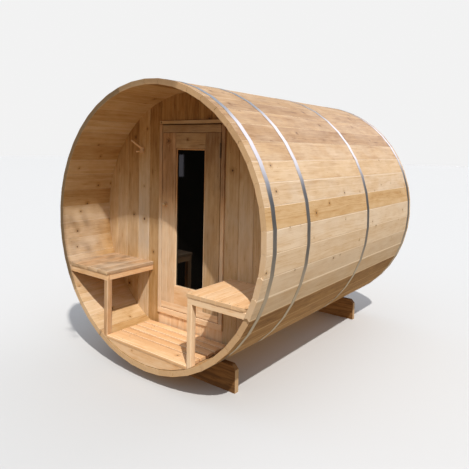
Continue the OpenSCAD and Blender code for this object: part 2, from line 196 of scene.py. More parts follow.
def surface(paper, sockets):
    """End a material in one Principled shader with these values and links."""
    shader = paper.node("ShaderNodeBsdfPrincipled", sockets=sockets)
    paper.node("ShaderNodeOutputMaterial", sockets={"Surface": shader})


def object_place(paper):
    """The place of a point on its object, as three wires."""
    return paper.node("ShaderNodeTexCoord", out="Object").parts()


def vector(x, y, z):
    """Three numbers or wires as one vector, and at least one of them is a wire."""
    paper = next(value for value in (x, y, z) if isinstance(value, Wire))
    return paper.node("ShaderNodeCombineXYZ", sockets={0: x, 1: y, 2: z})


def bump(height, strength, distance):
    """Small relief of this height."""
    sockets = {"Strength": strength, "Distance": distance, "Height": height}
    return height.node("ShaderNodeBump", sockets=sockets)


# %% Noise, steps and colours
def noise(place, detail=2.0, roughness=0.5):
    """Soft noise from 0 to 1, one blotch to each unit of its vector."""
    sockets = {"Vector": place, "Scale": 1.0, "Detail": detail, "Roughness": roughness}
    return place.node("ShaderNodeTexNoise", sockets=sockets)


def step(value, start, end):
    """0 before start, 1 after end and a soft rise between them."""
    sockets = {"Value": value, "From Min": start, "From Max": end}
    return value.node("ShaderNodeMapRange", {"interpolation_type": "SMOOTHSTEP"}, sockets)


def fall(value, start, end):
    """1 before start, 0 after end and a soft fall between them."""
    return 1.0 - step(value, start, end)


def ramp(value, stops):
    """The colour of a value, from a list of places and colours."""
    return value.node("ShaderNodeValToRGB", {"stops": stops}, {0: value})


def blend(factor, first, second):
    """Mix two colours by a factor."""
    paper = next(value for value in (factor, first, second) if isinstance(value, Wire))
    return paper.node("ShaderNodeMix", {"data_type": "RGBA"}, {0: factor, 6: first, 7: second}, out=2)


# %% [markdown]
# Cedar
#
# Every board is planed cedar. A picture of wood would stretch or repeat, and it would not agree on the face
# and on the end of a board. Here the boards are cut from an imagined log instead: the shader measures how far
# a point is from the log's heart, and that distance, in steps of a few millimetres, gives the yearly rings.
# The same rings then run as lines along a face and as arcs over its end. Each board carries its own
# coordinates, its own place in a log and its own tone, because the tones of neighbouring boards differ a lot.
#
# Oiled cedar is the wood under the roof, fresh cedar is newer or lit by the sun, and the other two ramps are
# wood that stood in the weather.

# %% Tones of cedar
OILED = [
    (0.00, (0.112, 0.046, 0.011)),
    (0.25, (0.285, 0.134, 0.037)),
    (0.50, (0.460, 0.260, 0.096)),
    (0.75, (0.583, 0.390, 0.204)),
    (1.00, (0.682, 0.514, 0.342)),
]
FRESH = [
    (0.00, (0.200, 0.085, 0.030)),
    (0.25, (0.420, 0.205, 0.078)),
    (0.50, (0.640, 0.345, 0.150)),
    (0.75, (0.750, 0.460, 0.235)),
    (1.00, (0.870, 0.640, 0.415)),
]
BLEACHED = [
    (0.10, (0.250, 0.130, 0.055)),
    (0.45, (0.470, 0.320, 0.190)),
    (0.72, (0.610, 0.460, 0.315)),
    (1.00, (0.710, 0.575, 0.430)),
]
SEASONED = [
    (0.10, (0.160, 0.085, 0.035)),
    (0.50, (0.420, 0.305, 0.200)),
    (0.90, (0.560, 0.440, 0.320)),
]
KNOT_COLOUR, KNOT_SHARE = (0.070, 0.030, 0.012, 1.0), 0.92
END_GRAIN, END_SHARE = (0.640, 0.435, 0.250, 1.0), 0.65
# Dark end grain on the rim's left half is painted shade.
DARK_END, END_SHADE_SHARE = (0.150, 0.100, 0.045, 1.0), 0.9
# Pale edges are a painted highlight, on edges marked above 1.
EDGE_HIGHLIGHT, EDGE_HIGHLIGHT_SHARE = (0.900, 0.760, 0.590, 1.0), 0.8
print("tones of cedar:", len(OILED), "oiled and", len(FRESH), "fresh")

# %% Grain of a board
END_FACING = 0.7, 0.8


def board_grain(paper):
    """Coordinates, look and cut that the boards of this script carry in their meshes."""
    wires = []
    for name in ("grain", "board", "cut"):
        wires += paper.node("ShaderNodeAttribute", {"attribute_name": name}, out="Vector").parts()
    return wires


def solid_grain(along, across, depth, look):
    """The same for a solid that keeps its own mesh: its axes are named by number."""
    def read(paper):
        place = object_place(paper)
        facing = paper.node("ShaderNodeTexCoord", out="Normal").parts()
        end = step(paper.math("ABSOLUTE", facing[along]), *END_FACING)
        return [place[along], place[across], place[depth], *look, end, 0.0, 0.0]
    return read


def stretched(place, moves, per_metre, detail=2.0, roughness=0.5):
    """Noise with so many blotches a metre along the grain and across it, moved on each axis."""
    long, short = per_metre
    moved = [value * scale + move for value, scale, move in zip(place, (long, short, short), moves)]
    return noise(vector(*moved), detail, roughness)


# %% [markdown]
# Weather and painted light
#
# Cedar in the open goes pale and grey, and under a roof it stays brown. A few heights and distances say
# where: the outside of the barrel is bleached all over. The inside near the mouth of the porch, where the sun
# patch falls, and a wall between the benches and the roof go paler and greyer as painted light, and the walls
# and the door are painted darker at the top, as the shade under the roof.

# %% Where weather and painted light reach
# Heights where the painted shade under the roof begins, on the walls and on the door.
WALL_SHADE_HEIGHTS, DOOR_SHADE_HEIGHTS = (0.95, 1.75), (1.00, 1.32)
UNDER_BENCH = 0.66, 0.84
SKIN = 0.015, 0.016
# The inside of the porch rim is painted paler where the sun patch falls; lower down the patch reaches less
# deep.
MOUTH, MOUTH_SLANT, MOUTH_FOOT = (0.04, 0.28), 0.45, 0.42
MOUTH_HEIGHT = 0.98, 1.14
porch_rim, back_rim = cad_box[0][1], cad_box[1][1]


def all_over(along, depth, height):
    """Weather reaches the whole board."""
    return 1.0


def lit_wall_band(along, depth, height):
    """Grey reaches the middle of a wall, as painted light between the shade under the benches and the shade
    under the roof.
    """
    return step(height, *UNDER_BENCH) * fall(height, *WALL_SHADE_HEIGHTS)


def skin_and_sun_patch(along, depth, height):
    """Grey reaches the weathered outer skin of a stave, and, as painted light, the low inside near the porch
    rim, where the sun patch falls.
    """
    mouth = fall(along - porch_rim - (height - MOUTH_FOOT) * MOUTH_SLANT, *MOUTH)
    inside = mouth * fall(height, *MOUTH_HEIGHT)
    return along.math("MAXIMUM", inside, step(depth, *SKIN))


print("porch rim at", round(porch_rim, 3), "and back rim at", round(back_rim, 3))

# %% Knots and rings
SHARP = 0.001
RING, RING_BEND = 0.0042, 1.6
RING_RISE, RING_FALL = (0.35, 0.9), (0.92, 1.0)
SIDE_WANDER, DEPTH_WANDER = 0.030, 0.016
HEART_SIDE, HEART_DEPTH = (-0.07, 0.14), (0.05, 0.11)


def knots_in(along, across, moves, cell, share, smallest, spread):
    """Knots, at most one to a square cell: how many knot sizes away it is, and 1 if there is one."""
    spots = {"Vector": vector(along / cell + moves[0], across / cell + moves[1], 0.0), "Scale": 1.0}
    away = along.node("ShaderNodeTexVoronoi", {"voronoi_dimensions": "2D"}, spots, out="Distance")
    size, chance, _ = away.also("Color").parts()
    return away * cell / (size * spread + smallest), step(chance, 1.0 - share, 1.0 - share + SHARP)


def late_wood(across, depth, seed, wander, halo):
    """1 on the dark line of each yearly ring. The heart lies beside the board, and knots bend the rings."""
    heart_side = across + wander * SIDE_WANDER + (seed * HEART_SIDE[1] + HEART_SIDE[0])
    heart_depth = depth + wander * DEPTH_WANDER + (seed * HEART_DEPTH[1] + HEART_DEPTH[0])
    far = across.math("SQRT", heart_side * heart_side + heart_depth * heart_depth)
    ring = across.math("FRACT", far / RING + halo * RING_BEND)
    return step(ring, *RING_RISE) * fall(ring, *RING_FALL)


print("a yearly ring is", round(1000 * RING, 1), "mm wide")


# %% [markdown]
# One recipe for every cedar
#
# A material for each kind of board could be built from nothing, but all of them share the grain. So one
# function makes them. It adds up what lightens or darkens the wood, with painted shade at the top of walls
# and doors, turns the sum into a colour, and then lays grey weather and painted light, pale edges that are
# partly painted highlight, end grain, painted shade on the rim's ends and knots over it.

# %% Amounts in the recipe
LOG_STEP, KNOT_STEP, PIN_STEP = 41.0, 17.0, 29.0
KNOT_CELL, KNOT_LEAST, KNOT_SPREAD = 0.22, 0.4, 0.7
KNOT_EDGE, HALO_EDGE, PIN_EDGE = (0.65, 1.0), (0.8, 4.5), (0.5, 1.2)
PIN_CELL, PIN_SHARE, PIN_LEAST, PIN_SPREAD = 0.055, 0.30, 0.0011, 0.0022
WANDER_GRAIN, STREAK_GRAIN, MOTTLE_GRAIN = (1.3, 5.0), (2.6, 38.0), (8.0, 20.0)
FLECK_GRAIN, FIBRE_GRAIN, PATCH_GRAIN = (9.0, 130.0), (24.0, 900.0), (4.0, 9.0)
FLECK_EDGE, PATCH_EDGE = (0.58, 0.75), (0.35, 0.65)
STREAKS, MOTTLES, WANDERS, FIBRES = 0.46, 0.36, 0.26, 0.14
LATE_WOOD, HALOS, FLECKS, PINS = 0.10, 0.20, 0.20, 0.30
TOP_SHADE_MIDDLE, PATCH_LEAST, PATCH_SPREAD = 0.69, 0.60, 0.55
LATE_RELIEF, FIBRE_RELIEF, KNOT_RELIEF, RELIEF_STRENGTH, RELIEF = 0.5, 0.5, 0.8, 0.35, 0.0006
FIBRE_GLOSS, KNOT_GLOSS, END_DULL, WOOD_SHEEN = 0.16, 0.12, 0.12, 0.35
print("at most one knot in", KNOT_CELL, "m and one pin knot in", PIN_CELL, "m")


# %% Cedar recipe
def cedar(name, tones, grain=board_grain, roughness=0.55, knots=0.45, knot_size=0.010, weather_and_light=all_over,
          weathered=SEASONED, painted_top_shade=0.0, eaves=WALL_SHADE_HEIGHTS, edges=0.35):
    """Planed cedar. The share of knots is from 0, none, to 1, one in each cell. The mask of grey says where a
    board goes grey, as weathering and, on the walls and inside the porch rim, as painted light. The top shade
    paints a board darker above its shade heights and lighter below them. The edges lighten the eased edges,
    as wear and painted highlight, or darken them, as painted shade in the joints; with a top shade only up
    high."""
    material, paper = new_finish(name)
    along, across, depth, seed, tone, grey, end, worn_and_lit_edge, soil = grain(paper)
    place, height = (along, across, depth), object_place(paper)[UPWARDS]
    shift = seed * LOG_STEP

    moves = shift, seed * KNOT_STEP
    sizes = knot_size * KNOT_LEAST, knot_size * KNOT_SPREAD
    away, present = knots_in(along, across, moves, KNOT_CELL, knots, *sizes)
    knot, halo = fall(away, *KNOT_EDGE) * present, fall(away, *HALO_EDGE) * present
    moves = shift, seed * PIN_STEP
    away, present = knots_in(along, across, moves, PIN_CELL, PIN_SHARE, PIN_LEAST, PIN_SPREAD)
    pin = fall(away, *PIN_EDGE) * present

    wander = stretched(place, (shift, 0.0, shift), WANDER_GRAIN) - 0.5
    late = late_wood(across, depth, seed, wander, halo)
    streak = stretched(place, (shift, 0.0, shift), STREAK_GRAIN, 4.0, 0.6) - 0.5
    mottle = stretched(place, (0.0, shift, 0.0), MOTTLE_GRAIN, 3.0, 0.6) - 0.5
    fleck = step(stretched(place, (shift, 0.0, shift), FLECK_GRAIN), *FLECK_EDGE)
    fibre = stretched(place, (shift, 0.0, 0.0), FIBRE_GRAIN)

    shade = tone + streak * STREAKS + mottle * MOTTLES + wander * WANDERS + (fibre - 0.5) * FIBRES
    shade = shade - late * LATE_WOOD - halo * HALOS - fleck * FLECKS - pin * PINS
    # Eased edges go lighter, as wear and painted highlight, or darker, as painted shade in the joints.
    edge_wear_and_painted_light = worn_and_lit_edge * edges
    # Painted shade and light: darker above the shade heights, lighter below them, and edges marked only
    # above.
    if painted_top_shade:
        in_top_shade = step(height, *eaves)
        shade = shade + (TOP_SHADE_MIDDLE - in_top_shade) * painted_top_shade
        edge_wear_and_painted_light = edge_wear_and_painted_light * in_top_shade
    shade = shade + edge_wear_and_painted_light

    blotch = vector(along * PATCH_GRAIN[0] + shift, across * PATCH_GRAIN[1], shift)
    patch = step(noise(blotch, 3.0, 0.6), *PATCH_EDGE) * PATCH_SPREAD + PATCH_LEAST
    # Grey weathering, and paler grey as painted light where the mask follows the light.
    colour = blend(grey * weather_and_light(along, depth, height) * patch, ramp(shade, tones), ramp(shade, weathered))
    # Painted highlight on the widest edges.
    colour = blend((worn_and_lit_edge - 1.0) * EDGE_HIGHLIGHT_SHARE, colour, EDGE_HIGHLIGHT)
    colour = blend(end * END_SHARE, colour, END_GRAIN)
    # Painted shade on the rim's ends.
    colour = blend(soil * END_SHADE_SHARE, colour, DARK_END)
    colour = blend(knot * KNOT_SHARE, colour, KNOT_COLOUR)

    relief = late * LATE_RELIEF + fibre * FIBRE_RELIEF + knot * KNOT_RELIEF
    gloss = (fibre - 0.5) * FIBRE_GLOSS + roughness - knot * KNOT_GLOSS + end * END_DULL
    surface(paper, {
        "Base Color": colour,
        "Roughness": gloss,
        "Normal": bump(relief, RELIEF_STRENGTH, RELIEF),
        "Specular IOR Level": WOOD_SHEEN,
    })
    return material


# %% Cedars of the sauna
# Staves: grey on their weathered skin, and painted light inside near the porch rim.
stave_cedar = cedar("stave_cedar", OILED, knots=0.6, knot_size=0.008, weather_and_light=skin_and_sun_patch, weathered=BLEACHED)
# Walls: grey as painted light between benches and roof, and painted shade at the top.
wall_cedar = cedar("wall_cedar", OILED, knots=0.75, knot_size=0.012, weather_and_light=lit_wall_band, painted_top_shade=0.32)
# Door cedar: painted shade at the top, and darker eased edges there, as painted shade in the joints.
door_cedar = cedar("door_cedar", OILED, roughness=0.48, knots=0.2, knot_size=0.008,
                   painted_top_shade=0.30, edges=-0.5)
# A paler, sunlit copy of the door's cedar, for pieces in the sun: painted light, with painted shade at the
# top.
sunned_cedar = cedar("sunned_cedar", FRESH, roughness=0.48, knots=0.3, knot_size=0.008,
                     painted_top_shade=0.60, eaves=DOOR_SHADE_HEIGHTS, edges=-0.5)
# Frame cedar: painted shade at the top, and slightly darker edges there.
frame_cedar = cedar("frame_cedar", FRESH, roughness=0.50, knots=0.2, knot_size=0.007,
                    painted_top_shade=0.60, eaves=DOOR_SHADE_HEIGHTS, edges=-0.1)
floor_cedar = cedar("floor_cedar", FRESH, roughness=0.6, knots=0.4, knot_size=0.008)
bench_cedar = cedar("bench_cedar", FRESH, roughness=0.58, knots=0.4, knot_size=0.007)
print("cedar finishes:", len(bpy.data.materials))

# %% [markdown]
# Boards
#
# A board could be a cube with a bevel, but then it would carry no grain of its own. A board here is a
# section, such as a rectangle with eased corners, swept along its length. While the points are laid down,
# each one also gets its place along, across and through its board, and each face is marked as side, eased
# edge or end.

# %% Eased sections
def eased(corners, ease, steps=1):
    """Round a section's corners: each one becomes a short arc. Says which columns are eased edges, too."""
    points = []
    for index, corner in enumerate(corners):
        corner = Vector(corner)
        before = (Vector(corners[index - 1]) - corner).normalized() * ease
        after = (Vector(corners[(index + 1) % len(corners)]) - corner).normalized() * ease
        for part in range(steps + 1):
            turn = part / steps
            points.append(corner + before * (1 - turn) ** 2 + after * turn ** 2)
    edges = {index: 1.0 for index in range(len(points)) if index % (steps + 1) < steps}
    return [tuple(point) for point in points], edges


def drawn_in(value, amount):
    """A coordinate moved towards zero, and never past it."""
    return math.copysign(max(abs(value) - amount, 0.0), value)


print("corners of an eased square:", len(eased([(0, 0), (1, 0), (1, 1), (0, 1)], 0.1)[0]))

# %% New pieces
CREASE = 38.0


def new_piece(name, mesh, material, body, slot, *nodes, crease=CREASE):
    """Link a mesh as a piece of the sauna, with its faces turned outwards and smooth up to the crease."""
    shape = bmesh.new()
    shape.from_mesh(mesh)
    bmesh.ops.recalc_face_normals(shape, faces=shape.faces)
    shape.to_mesh(mesh)
    shape.free()
    mesh.materials.append(material)
    mesh.shade_smooth()
    mesh.set_sharp_from_angle(angle=math.radians(crease))
    made = bpy.data.objects.new(name, mesh)
    bpy.context.collection.objects.link(made)
    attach(made, body)
    if nodes:
        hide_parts(*nodes)
    return made


# %% Board builder
BOARD_EASE, END_CUT = 0.002, 0.0015


class Timber:
    """Collects the boards of one piece and makes them one mesh."""

    def __init__(self):
        self.points, self.faces = [], []
        self.grain, self.board_looks, self.cuts = [], [], []

    def loft(self, rings, place, look, edges, soil=0.0):
        """Join rings of (along, across, depth) points into one closed board. The edges give a column of faces
        its edge mark, which the finish turns into wear and painted highlight, or painted shade in the joints,
        and the ends may carry painted shade."""
        start, count, last = len(self.points), len(rings[0]), len(rings) - 1
        for ring in rings:
            self.points += [place @ Vector(point) for point in ring]
            self.grain += ring
            self.board_looks += [look] * count
        for level in range(last):
            low = start + level * count
            high = low + count
            for column in range(count):
                after = (column + 1) % count
                self.faces.append((low + column, low + after, high + after, high + column))
                self.cuts.append((0.0, edges.get(column, 0.0), 0.0))
        for base in (start, start + last * count):
            self.faces.append(tuple(range(base, base + count)))
            self.cuts.append((1.0, 0.0, soil))

    def sweep(self, section, edges, low, high, place, look, end_ease=END_CUT):
        """Sweep a section between two ends. An end is a number or a function of (across, depth)."""
        def at(end, point):
            return end(*point) if callable(end) else end
        rings = [
            [(at(low, p), drawn_in(p[0], end_ease), drawn_in(p[1], end_ease)) for p in section],
            [(at(low, p) + end_ease, *p) for p in section],
            [(at(high, p) - end_ease, *p) for p in section],
            [(at(high, p), drawn_in(p[0], end_ease), drawn_in(p[1], end_ease)) for p in section],
        ]
        self.loft(rings if end_ease else rings[1:3], place, look, edges)

    def plank(self, low, high, along, look, ease=BOARD_EASE, steps=1, low_end=None, high_end=None):
        """A board that fills a box, with its grain along one axis. A function of a point may cut its ends."""
        size, centre = high - low, (high + low) / 2
        others = [axis for axis in range(3) if axis != along]
        across, depth = sorted(others, key=lambda axis: -size[axis])
        place = place_with(AXES[along], AXES[across], AXES[depth], centre)
        wide, thick, half = size[across] / 2, size[depth] / 2, size[along] / 2
        corners = [(-wide, -thick), (wide, -thick), (wide, thick), (-wide, thick)]
        section, edges = eased(corners, ease, steps)

        def cut(rule):
            return lambda v, w: rule(place @ Vector((0.0, v, w))) - centre[along]
        first = cut(low_end) if low_end else -half
        last = cut(high_end) if high_end else half
        self.sweep(section, edges, first, last, place, look, min(ease, BOARD_EASE))

    def piece(self, name, material, body, slot, *nodes, crease=CREASE):
        """Make the collected boards one object that rides on a body and stands for these nodes."""
        mesh = bpy.data.meshes.new(name)
        mesh.from_pydata(self.points, [], self.faces)
        for key, domain, values in (("grain", "POINT", self.grain), ("board", "POINT", self.board_looks),
                                    ("cut", "FACE", self.cuts)):
            layer = mesh.attributes.new(key, "FLOAT_VECTOR", domain)
            layer.data.foreach_set("vector", [number for value in values for number in value])
        return new_piece(name, mesh, material, body, slot, *nodes, crease=crease)


# %% Board looks and solid boxes
CREAM, HONEY, AMBER, TAN = 0.98, 0.80, 0.62, 0.50
TONE_SPREAD, WELD = 0.06, 1e-5


def look_of(piece, number, tones, grey=0.0):
    """Seed, tone and weathering of one board, the same on every run."""
    draw = random.Random(f"{piece} {number}")
    return draw.random(), draw.choice(tones) + draw.uniform(-TONE_SPREAD, TONE_SPREAD), grey


def solids(node):
    """Boxes of a node's separate solids, in order of their places."""
    shape = bmesh.new()
    shape.from_mesh(frame["nodes"][node].data)
    bmesh.ops.remove_doubles(shape, verts=shape.verts, dist=WELD)
    unseen, boxes = set(shape.verts), []
    while unseen:
        reached = [unseen.pop()]
        for vertex in reached:
            near = {edge.other_vert(vertex) for edge in vertex.link_edges} & unseen
            unseen -= near
            reached += near
        sides = [[vertex.co[axis] for vertex in reached] for axis in range(3)]
        boxes.append((Vector(map(min, sides)), Vector(map(max, sides))))
    shape.free()
    return sorted(boxes, key=lambda box: tuple(round(value, 4) for value in box[0]))


print("a floor has", len(solids("cabin_floor")), "slats")

# %% [markdown]
# Staves
#
# The shell is coopered from forty-six staves. Each has a round bead along one edge, which turns in a hollow
# cove along the edge of the next, so that the ring closes without gaps. A plain tube with lines drawn on it
# would miss the flats, the joints and the uneven ends, so every stave is its own board. The grooves that hold
# the end walls are cut into each one.

# %% Stave section
STAVES = 46
FIRST_JOINT = math.radians(4.9)
TURN = 2 * math.pi / STAVES
CORNER_RADIUS, THICK = 0.980, 0.038
AXIS_HEIGHT = frame["record"]["behaviour"]["joints"][0]["pos_m"][2]
OUTER = CORNER_RADIUS * math.cos(TURN / 2)
INNER = OUTER - THICK
MIDDLE = OUTER - THICK / 2
JOINT_GAP, INNER_EASE = 0.0004, 0.0010
BEAD_RADIUS, BEAD_HEIGHT, COVE_CLEAR = 0.010, 0.006, 0.0005
ARC_STEPS = 6


def joint_side(depth):
    """Half the width of a stave at a depth from its middle."""
    return (MIDDLE + depth) * math.tan(TURN / 2) - JOINT_GAP / 2


def bead_arc(radius):
    """(depth, height over the joint) along a bead or cove, from the outside in."""
    sink = BEAD_RADIUS - BEAD_HEIGHT
    reach = math.acos(sink / radius)
    turns = [reach - 2 * reach * part / ARC_STEPS for part in range(ARC_STEPS + 1)]
    return [(radius * math.sin(turn), radius * math.cos(turn) - sink) for turn in turns]


def outer_edge(side, ease, drop):
    """The eased outer edge of a stave, from its face to its joint."""
    skin = THICK / 2
    return [(side * (joint_side(skin) - ease), skin), (side * joint_side(skin - drop), skin - drop)]


def stave_section(upper, lower):
    """Outline of a stave with these two outer edges, and the columns of it that are eased edges."""
    skin = THICK / 2
    bead = [(joint_side(depth) + height, depth) for depth, height in bead_arc(BEAD_RADIUS)]
    cove = [(height - joint_side(depth), depth) for depth, height in bead_arc(BEAD_RADIUS + COVE_CLEAR)]
    inside = [(joint_side(INNER_EASE - skin), INNER_EASE - skin), (joint_side(-skin) - INNER_EASE, -skin)]
    outline = [*outer_edge(1, *upper), *bead, *inside]
    outline += [(-v, w) for v, w in reversed(inside)] + cove[::-1] + outer_edge(-1, *lower)[::-1]
    inner = len(bead) + 2
    return outline, {0: 1.0, inner: 1.0, inner + 2: 1.0, len(outline) - 2: 1.0}


print("a stave is", round(2000 * joint_side(THICK / 2)), "mm wide")

# %% [markdown]
# Each stave's own look
#
# Staves come from different logs, so some are brown and some almost cream, and the weather bleaches those on
# top and on the sunny flank. One random tone for all would lose the order that makes this barrel itself, so
# the staves that show have their own tones, and the hidden ones draw from a few. The roof staves share one
# darker tone, as painted shade, and the ends on the left half of the rim are painted dark, as shade. Two ends
# stand a little proud of the rim, and the lower edges of two staves on the flank are cut wide and painted
# pale, as a highlight.

# %% Stave looks
def numbered(first, values):
    """Values of staves that follow each other, by the staves' numbers."""
    return dict(enumerate(values, first))


RIGHT_TONES = numbered(0, [0.70, 0.74, 0.72, 0.58])
LEFT_TONES = numbered(11, [0.74, 0.68, 0.66, 0.84, 0.68, 0.82, 0.68, 0.56, 0.78, 0.74,
                           0.60, 0.80, 0.60, 0.70, 0.66, 0.66, 0.76, 0.84, 0.80])
FLANK_TONES = numbered(40, [0.37, 0.37, 0.92, CREAM, 0.92, CREAM])
STAVE_TONES = {**RIGHT_TONES, **LEFT_TONES, **FLANK_TONES}
# Staves 22 to 29 are painted paler inside near the porch rim, as painted light; elsewhere this is weathering
# of the skin.
STAVE_BLEACH_AND_LIGHT = {**numbered(0, [0.0, 0.9]), **numbered(22, [0.6, 0.8, 1.0, 0.8, 0.6, 0.3, 0.3, 0.3]),
                **numbered(42, [0.8, 0.8, 0.5, 0.8])}
# The roof staves' darker tone is painted shade.
ROOF_STAVES, SHADED_ROOF_TONE, ROOF_BLEACH = range(3, 12), 0.41, 0.7
SIDE_TONES, SIDE_BLEACH, SHADED_STAVES = [AMBER, TAN, AMBER], 0.5, range(31, 42)
PLAIN_EDGE, FINE_EDGE, BOLD_EDGE = (0.0035, 0.0014), (0.0016, 0.0007), (0.0090, 0.0008)
# Wide pale lower edges of two flank staves: painted highlight.
BOLD_EDGE_HIGHLIGHT = {43: 2.2, 42: 1.7}
PROUD_ENDS = {43: 0.007, 42: 0.010}
# Darker ends on the rim's left half: painted shade.
PAINTED_END_SHADE = numbered(11, [0.15, 0.2, *[0.7] * 13, 0.4])


def stave_look(number):
    """Tone and greying of a stave: its own, or those of the roof, the underside or the sides."""
    tones, bleach = SIDE_TONES, SIDE_BLEACH
    if number in ROOF_STAVES:
        tones, bleach = [SHADED_ROOF_TONE], ROOF_BLEACH
    if number in SHADED_STAVES:
        bleach = 0.0
    if number in STAVE_TONES:
        tones = [STAVE_TONES[number]]
    return look_of("stave", number, tones, STAVE_BLEACH_AND_LIGHT.get(number, bleach))


print("staves with a tone of their own:", len(STAVE_TONES))

# %% Stave ring
STAVE_GROUPS = ["right_upper", "roof_right", "roof_left", "left_upper",
                "left_lower", "bottom_left", "bottom_right", "right_lower"]
CROZE_DEPTH, CROZE_CLEAR = 0.012, 0.0003
END_EASE, END_WANDER = 0.0006, 0.0010
STAVE_CREASE = 12.0
wall_boxes = [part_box(wall) for wall in ("porch_wall_left", "back_wall")]
grooves = [(low.y - CROZE_CLEAR, high.y + CROZE_CLEAR) for low, high in wall_boxes]


def stave_angle(number):
    """Direction of the middle of a stave, seen from the axis."""
    return FIRST_JOINT + (number + 0.5) * TURN


def add_stave(timber, number):
    """One stave, from the porch rim to the back rim, with its two grooves."""
    look = stave_look(number)
    edge = FINE_EDGE if number in ROOF_STAVES else PLAIN_EDGE
    section, edges = stave_section(edge, BOLD_EDGE if number in BOLD_EDGE_HIGHLIGHT else edge)
    edges[len(section) - 2] = BOLD_EDGE_HIGHLIGHT.get(number, 1.0)
    small = [(drawn_in(v, END_EASE), drawn_in(w, END_EASE)) for v, w in section]
    grooved = [(v, max(w, CROZE_DEPTH - THICK / 2)) for v, w in section]

    uneven = (look[0] - 0.5) * END_WANDER
    front, back = porch_rim - PROUD_ENDS.get(number, uneven), back_rim + uneven
    levels = [(front, small), (front + END_EASE, section)]
    for start, end in grooves:
        levels += [(start, section), (start, grooved), (end, grooved), (end, section)]
    levels += [(back - END_EASE, section), (back, small)]
    rings = [[(along, *point) for point in ring] for along, ring in levels]

    outwards = Vector((math.cos(stave_angle(number)), 0.0, math.sin(stave_angle(number))))
    sideways = Vector((-outwards.z, 0.0, outwards.x))
    middle = outwards * MIDDLE + AXES[UPWARDS] * AXIS_HEIGHT
    place = place_with(AXES[DEEP], sideways, outwards, middle)
    timber.loft(rings, place, look, edges, PAINTED_END_SHADE.get(number, 0.0))


for group, name in enumerate(STAVE_GROUPS):
    timber = Timber()
    for number in range(group * STAVES // len(STAVE_GROUPS), (group + 1) * STAVES // len(STAVE_GROUPS)):
        add_stave(timber, number)
    timber.piece(f"coopered_staves_{name}", stave_cedar, "barrel", "stave", f"staves_{name}",
                 crease=STAVE_CREASE)
print("staves laid:", STAVES)

# %% [markdown]
# End walls
#
# The two round ends are upright boards with a small V along every joint. They could be one disc with grooves
# cut in, but the boards differ in tone and grain. Each board is swept upright, and its ends follow the circle
# of the groove in the staves. Over and under the door the same boards go on, with the same grain.

# %% Wall boards
WALL_BOARD, V_JOINT, CUT_EASE, BOARD_GAP, NARROWEST = 0.127, 0.004, 0.0005, 0.0002, 0.002
WALL_TONES = [TAN, 0.44, 0.54]
ROUND_STEPS = 5
WALL_REACH = 0.9992
wall_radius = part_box("back_wall")[1].x
wall_limit = wall_radius * WALL_REACH
print("end walls are", round(2 * wall_radius, 3), "m across")


def wall_section(half, thick, left_ease, right_ease):
    """Section of a wall board, with points enough on its faces for the ends to follow a circle."""
    inner = [2 * half * part / ROUND_STEPS - half for part in range(1, ROUND_STEPS)]
    front = [left_ease - half, *inner, half - right_ease]
    section = [(v, -thick) for v in front] + [(half, right_ease - thick), (half, thick - right_ease)]
    section += [(v, thick) for v in reversed(front)]
    return section + [(-half, thick - left_ease), (-half, left_ease - thick)]


def wall_boards(piece, node, tones, floor=None, ceiling=None, material=wall_cedar):
    """Boards over one node of a wall, from its floor or the circle up to its ceiling or the circle."""
    low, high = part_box(node)
    thick, depth = (high.y - low.y) / 2, (high.y + low.y) / 2
    timber = Timber()
    for number in range(round(-wall_limit / WALL_BOARD), round(wall_limit / WALL_BOARD) + 1):
        joints = (number - 0.5) * WALL_BOARD + BOARD_GAP / 2, (number + 0.5) * WALL_BOARD - BOARD_GAP / 2
        start, end = max(joints[0], low.x, -wall_limit), min(joints[1], high.x, wall_limit)
        if end - start < NARROWEST:
            continue
        half, centre = (end - start) / 2, (end + start) / 2
        left_ease = min(V_JOINT if start == joints[0] else CUT_EASE, half / 2)
        right_ease = min(V_JOINT if end == joints[1] else CUT_EASE, half / 2)
        section = wall_section(half, thick, left_ease, right_ease)

        def circle(v, w, middle=centre):
            return math.sqrt(wall_radius ** 2 - min(abs(middle + v), wall_limit) ** 2)
        bottom = (lambda v, w: -circle(v, w)) if floor is None else floor - AXIS_HEIGHT
        top = circle if ceiling is None else ceiling - AXIS_HEIGHT
        tone, grey = tones.get(number, (None, 0.0))
        # The nodes of one wall share their first letters, so a board keeps its grain past the door.
        look = look_of(node[:5], number, [tone] if tone else WALL_TONES, grey)
        place = place_with(AXES[UPWARDS], AXES[ACROSS], AXES[DEEP], (centre, depth, AXIS_HEIGHT))
        timber.sweep(section, {}, bottom, top, place, look, end_ease=0)
    timber.piece(piece, material, "barrel", "wall_board", node)
    return len(timber.faces)


# %% Porch wall and back wall
PORCH_TONES = {-6: (0.56, 0.4), -5: (0.44, 0.4), -4: (0.64, 0.9), -3: (0.42, 0.4),
               3: (0.56, 0.5), 4: (0.64, 0.5), 5: (0.60, 0.4)}
door_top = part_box("porch_wall_over_door")[0].z
door_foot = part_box("porch_wall_under_door")[1].z
wall_boards("porch_boards_left", "porch_wall_left", PORCH_TONES)
wall_boards("porch_boards_right", "porch_wall_right", PORCH_TONES)
wall_boards("porch_boards_over_door", "porch_wall_over_door", PORCH_TONES, floor=door_top)
wall_boards("porch_boards_under_door", "porch_wall_under_door", PORCH_TONES, ceiling=door_foot,
            material=sunned_cedar)
print("back wall faces:", wall_boards("back_boards", "back_wall", {}))

# %% [markdown]
# Door frame and door
#
# The frame is four plain boards round the opening. The door could be one slab with lines painted on it. It is
# made as a joiner makes it instead: two stiles, two rails and two panels. The stiles and panels have a groove
# that holds the pane, and small rounded beads close it. All edges are eased, so every joint shows as a fine
# line. The door and its frame are painted darker at the top, as the shade under the roof, and up there their
# eased edges are painted darker, as the shade in the joints.

# %% Door frame
DOOR_EASE, JAMB_EASE = 0.003, 0.0015


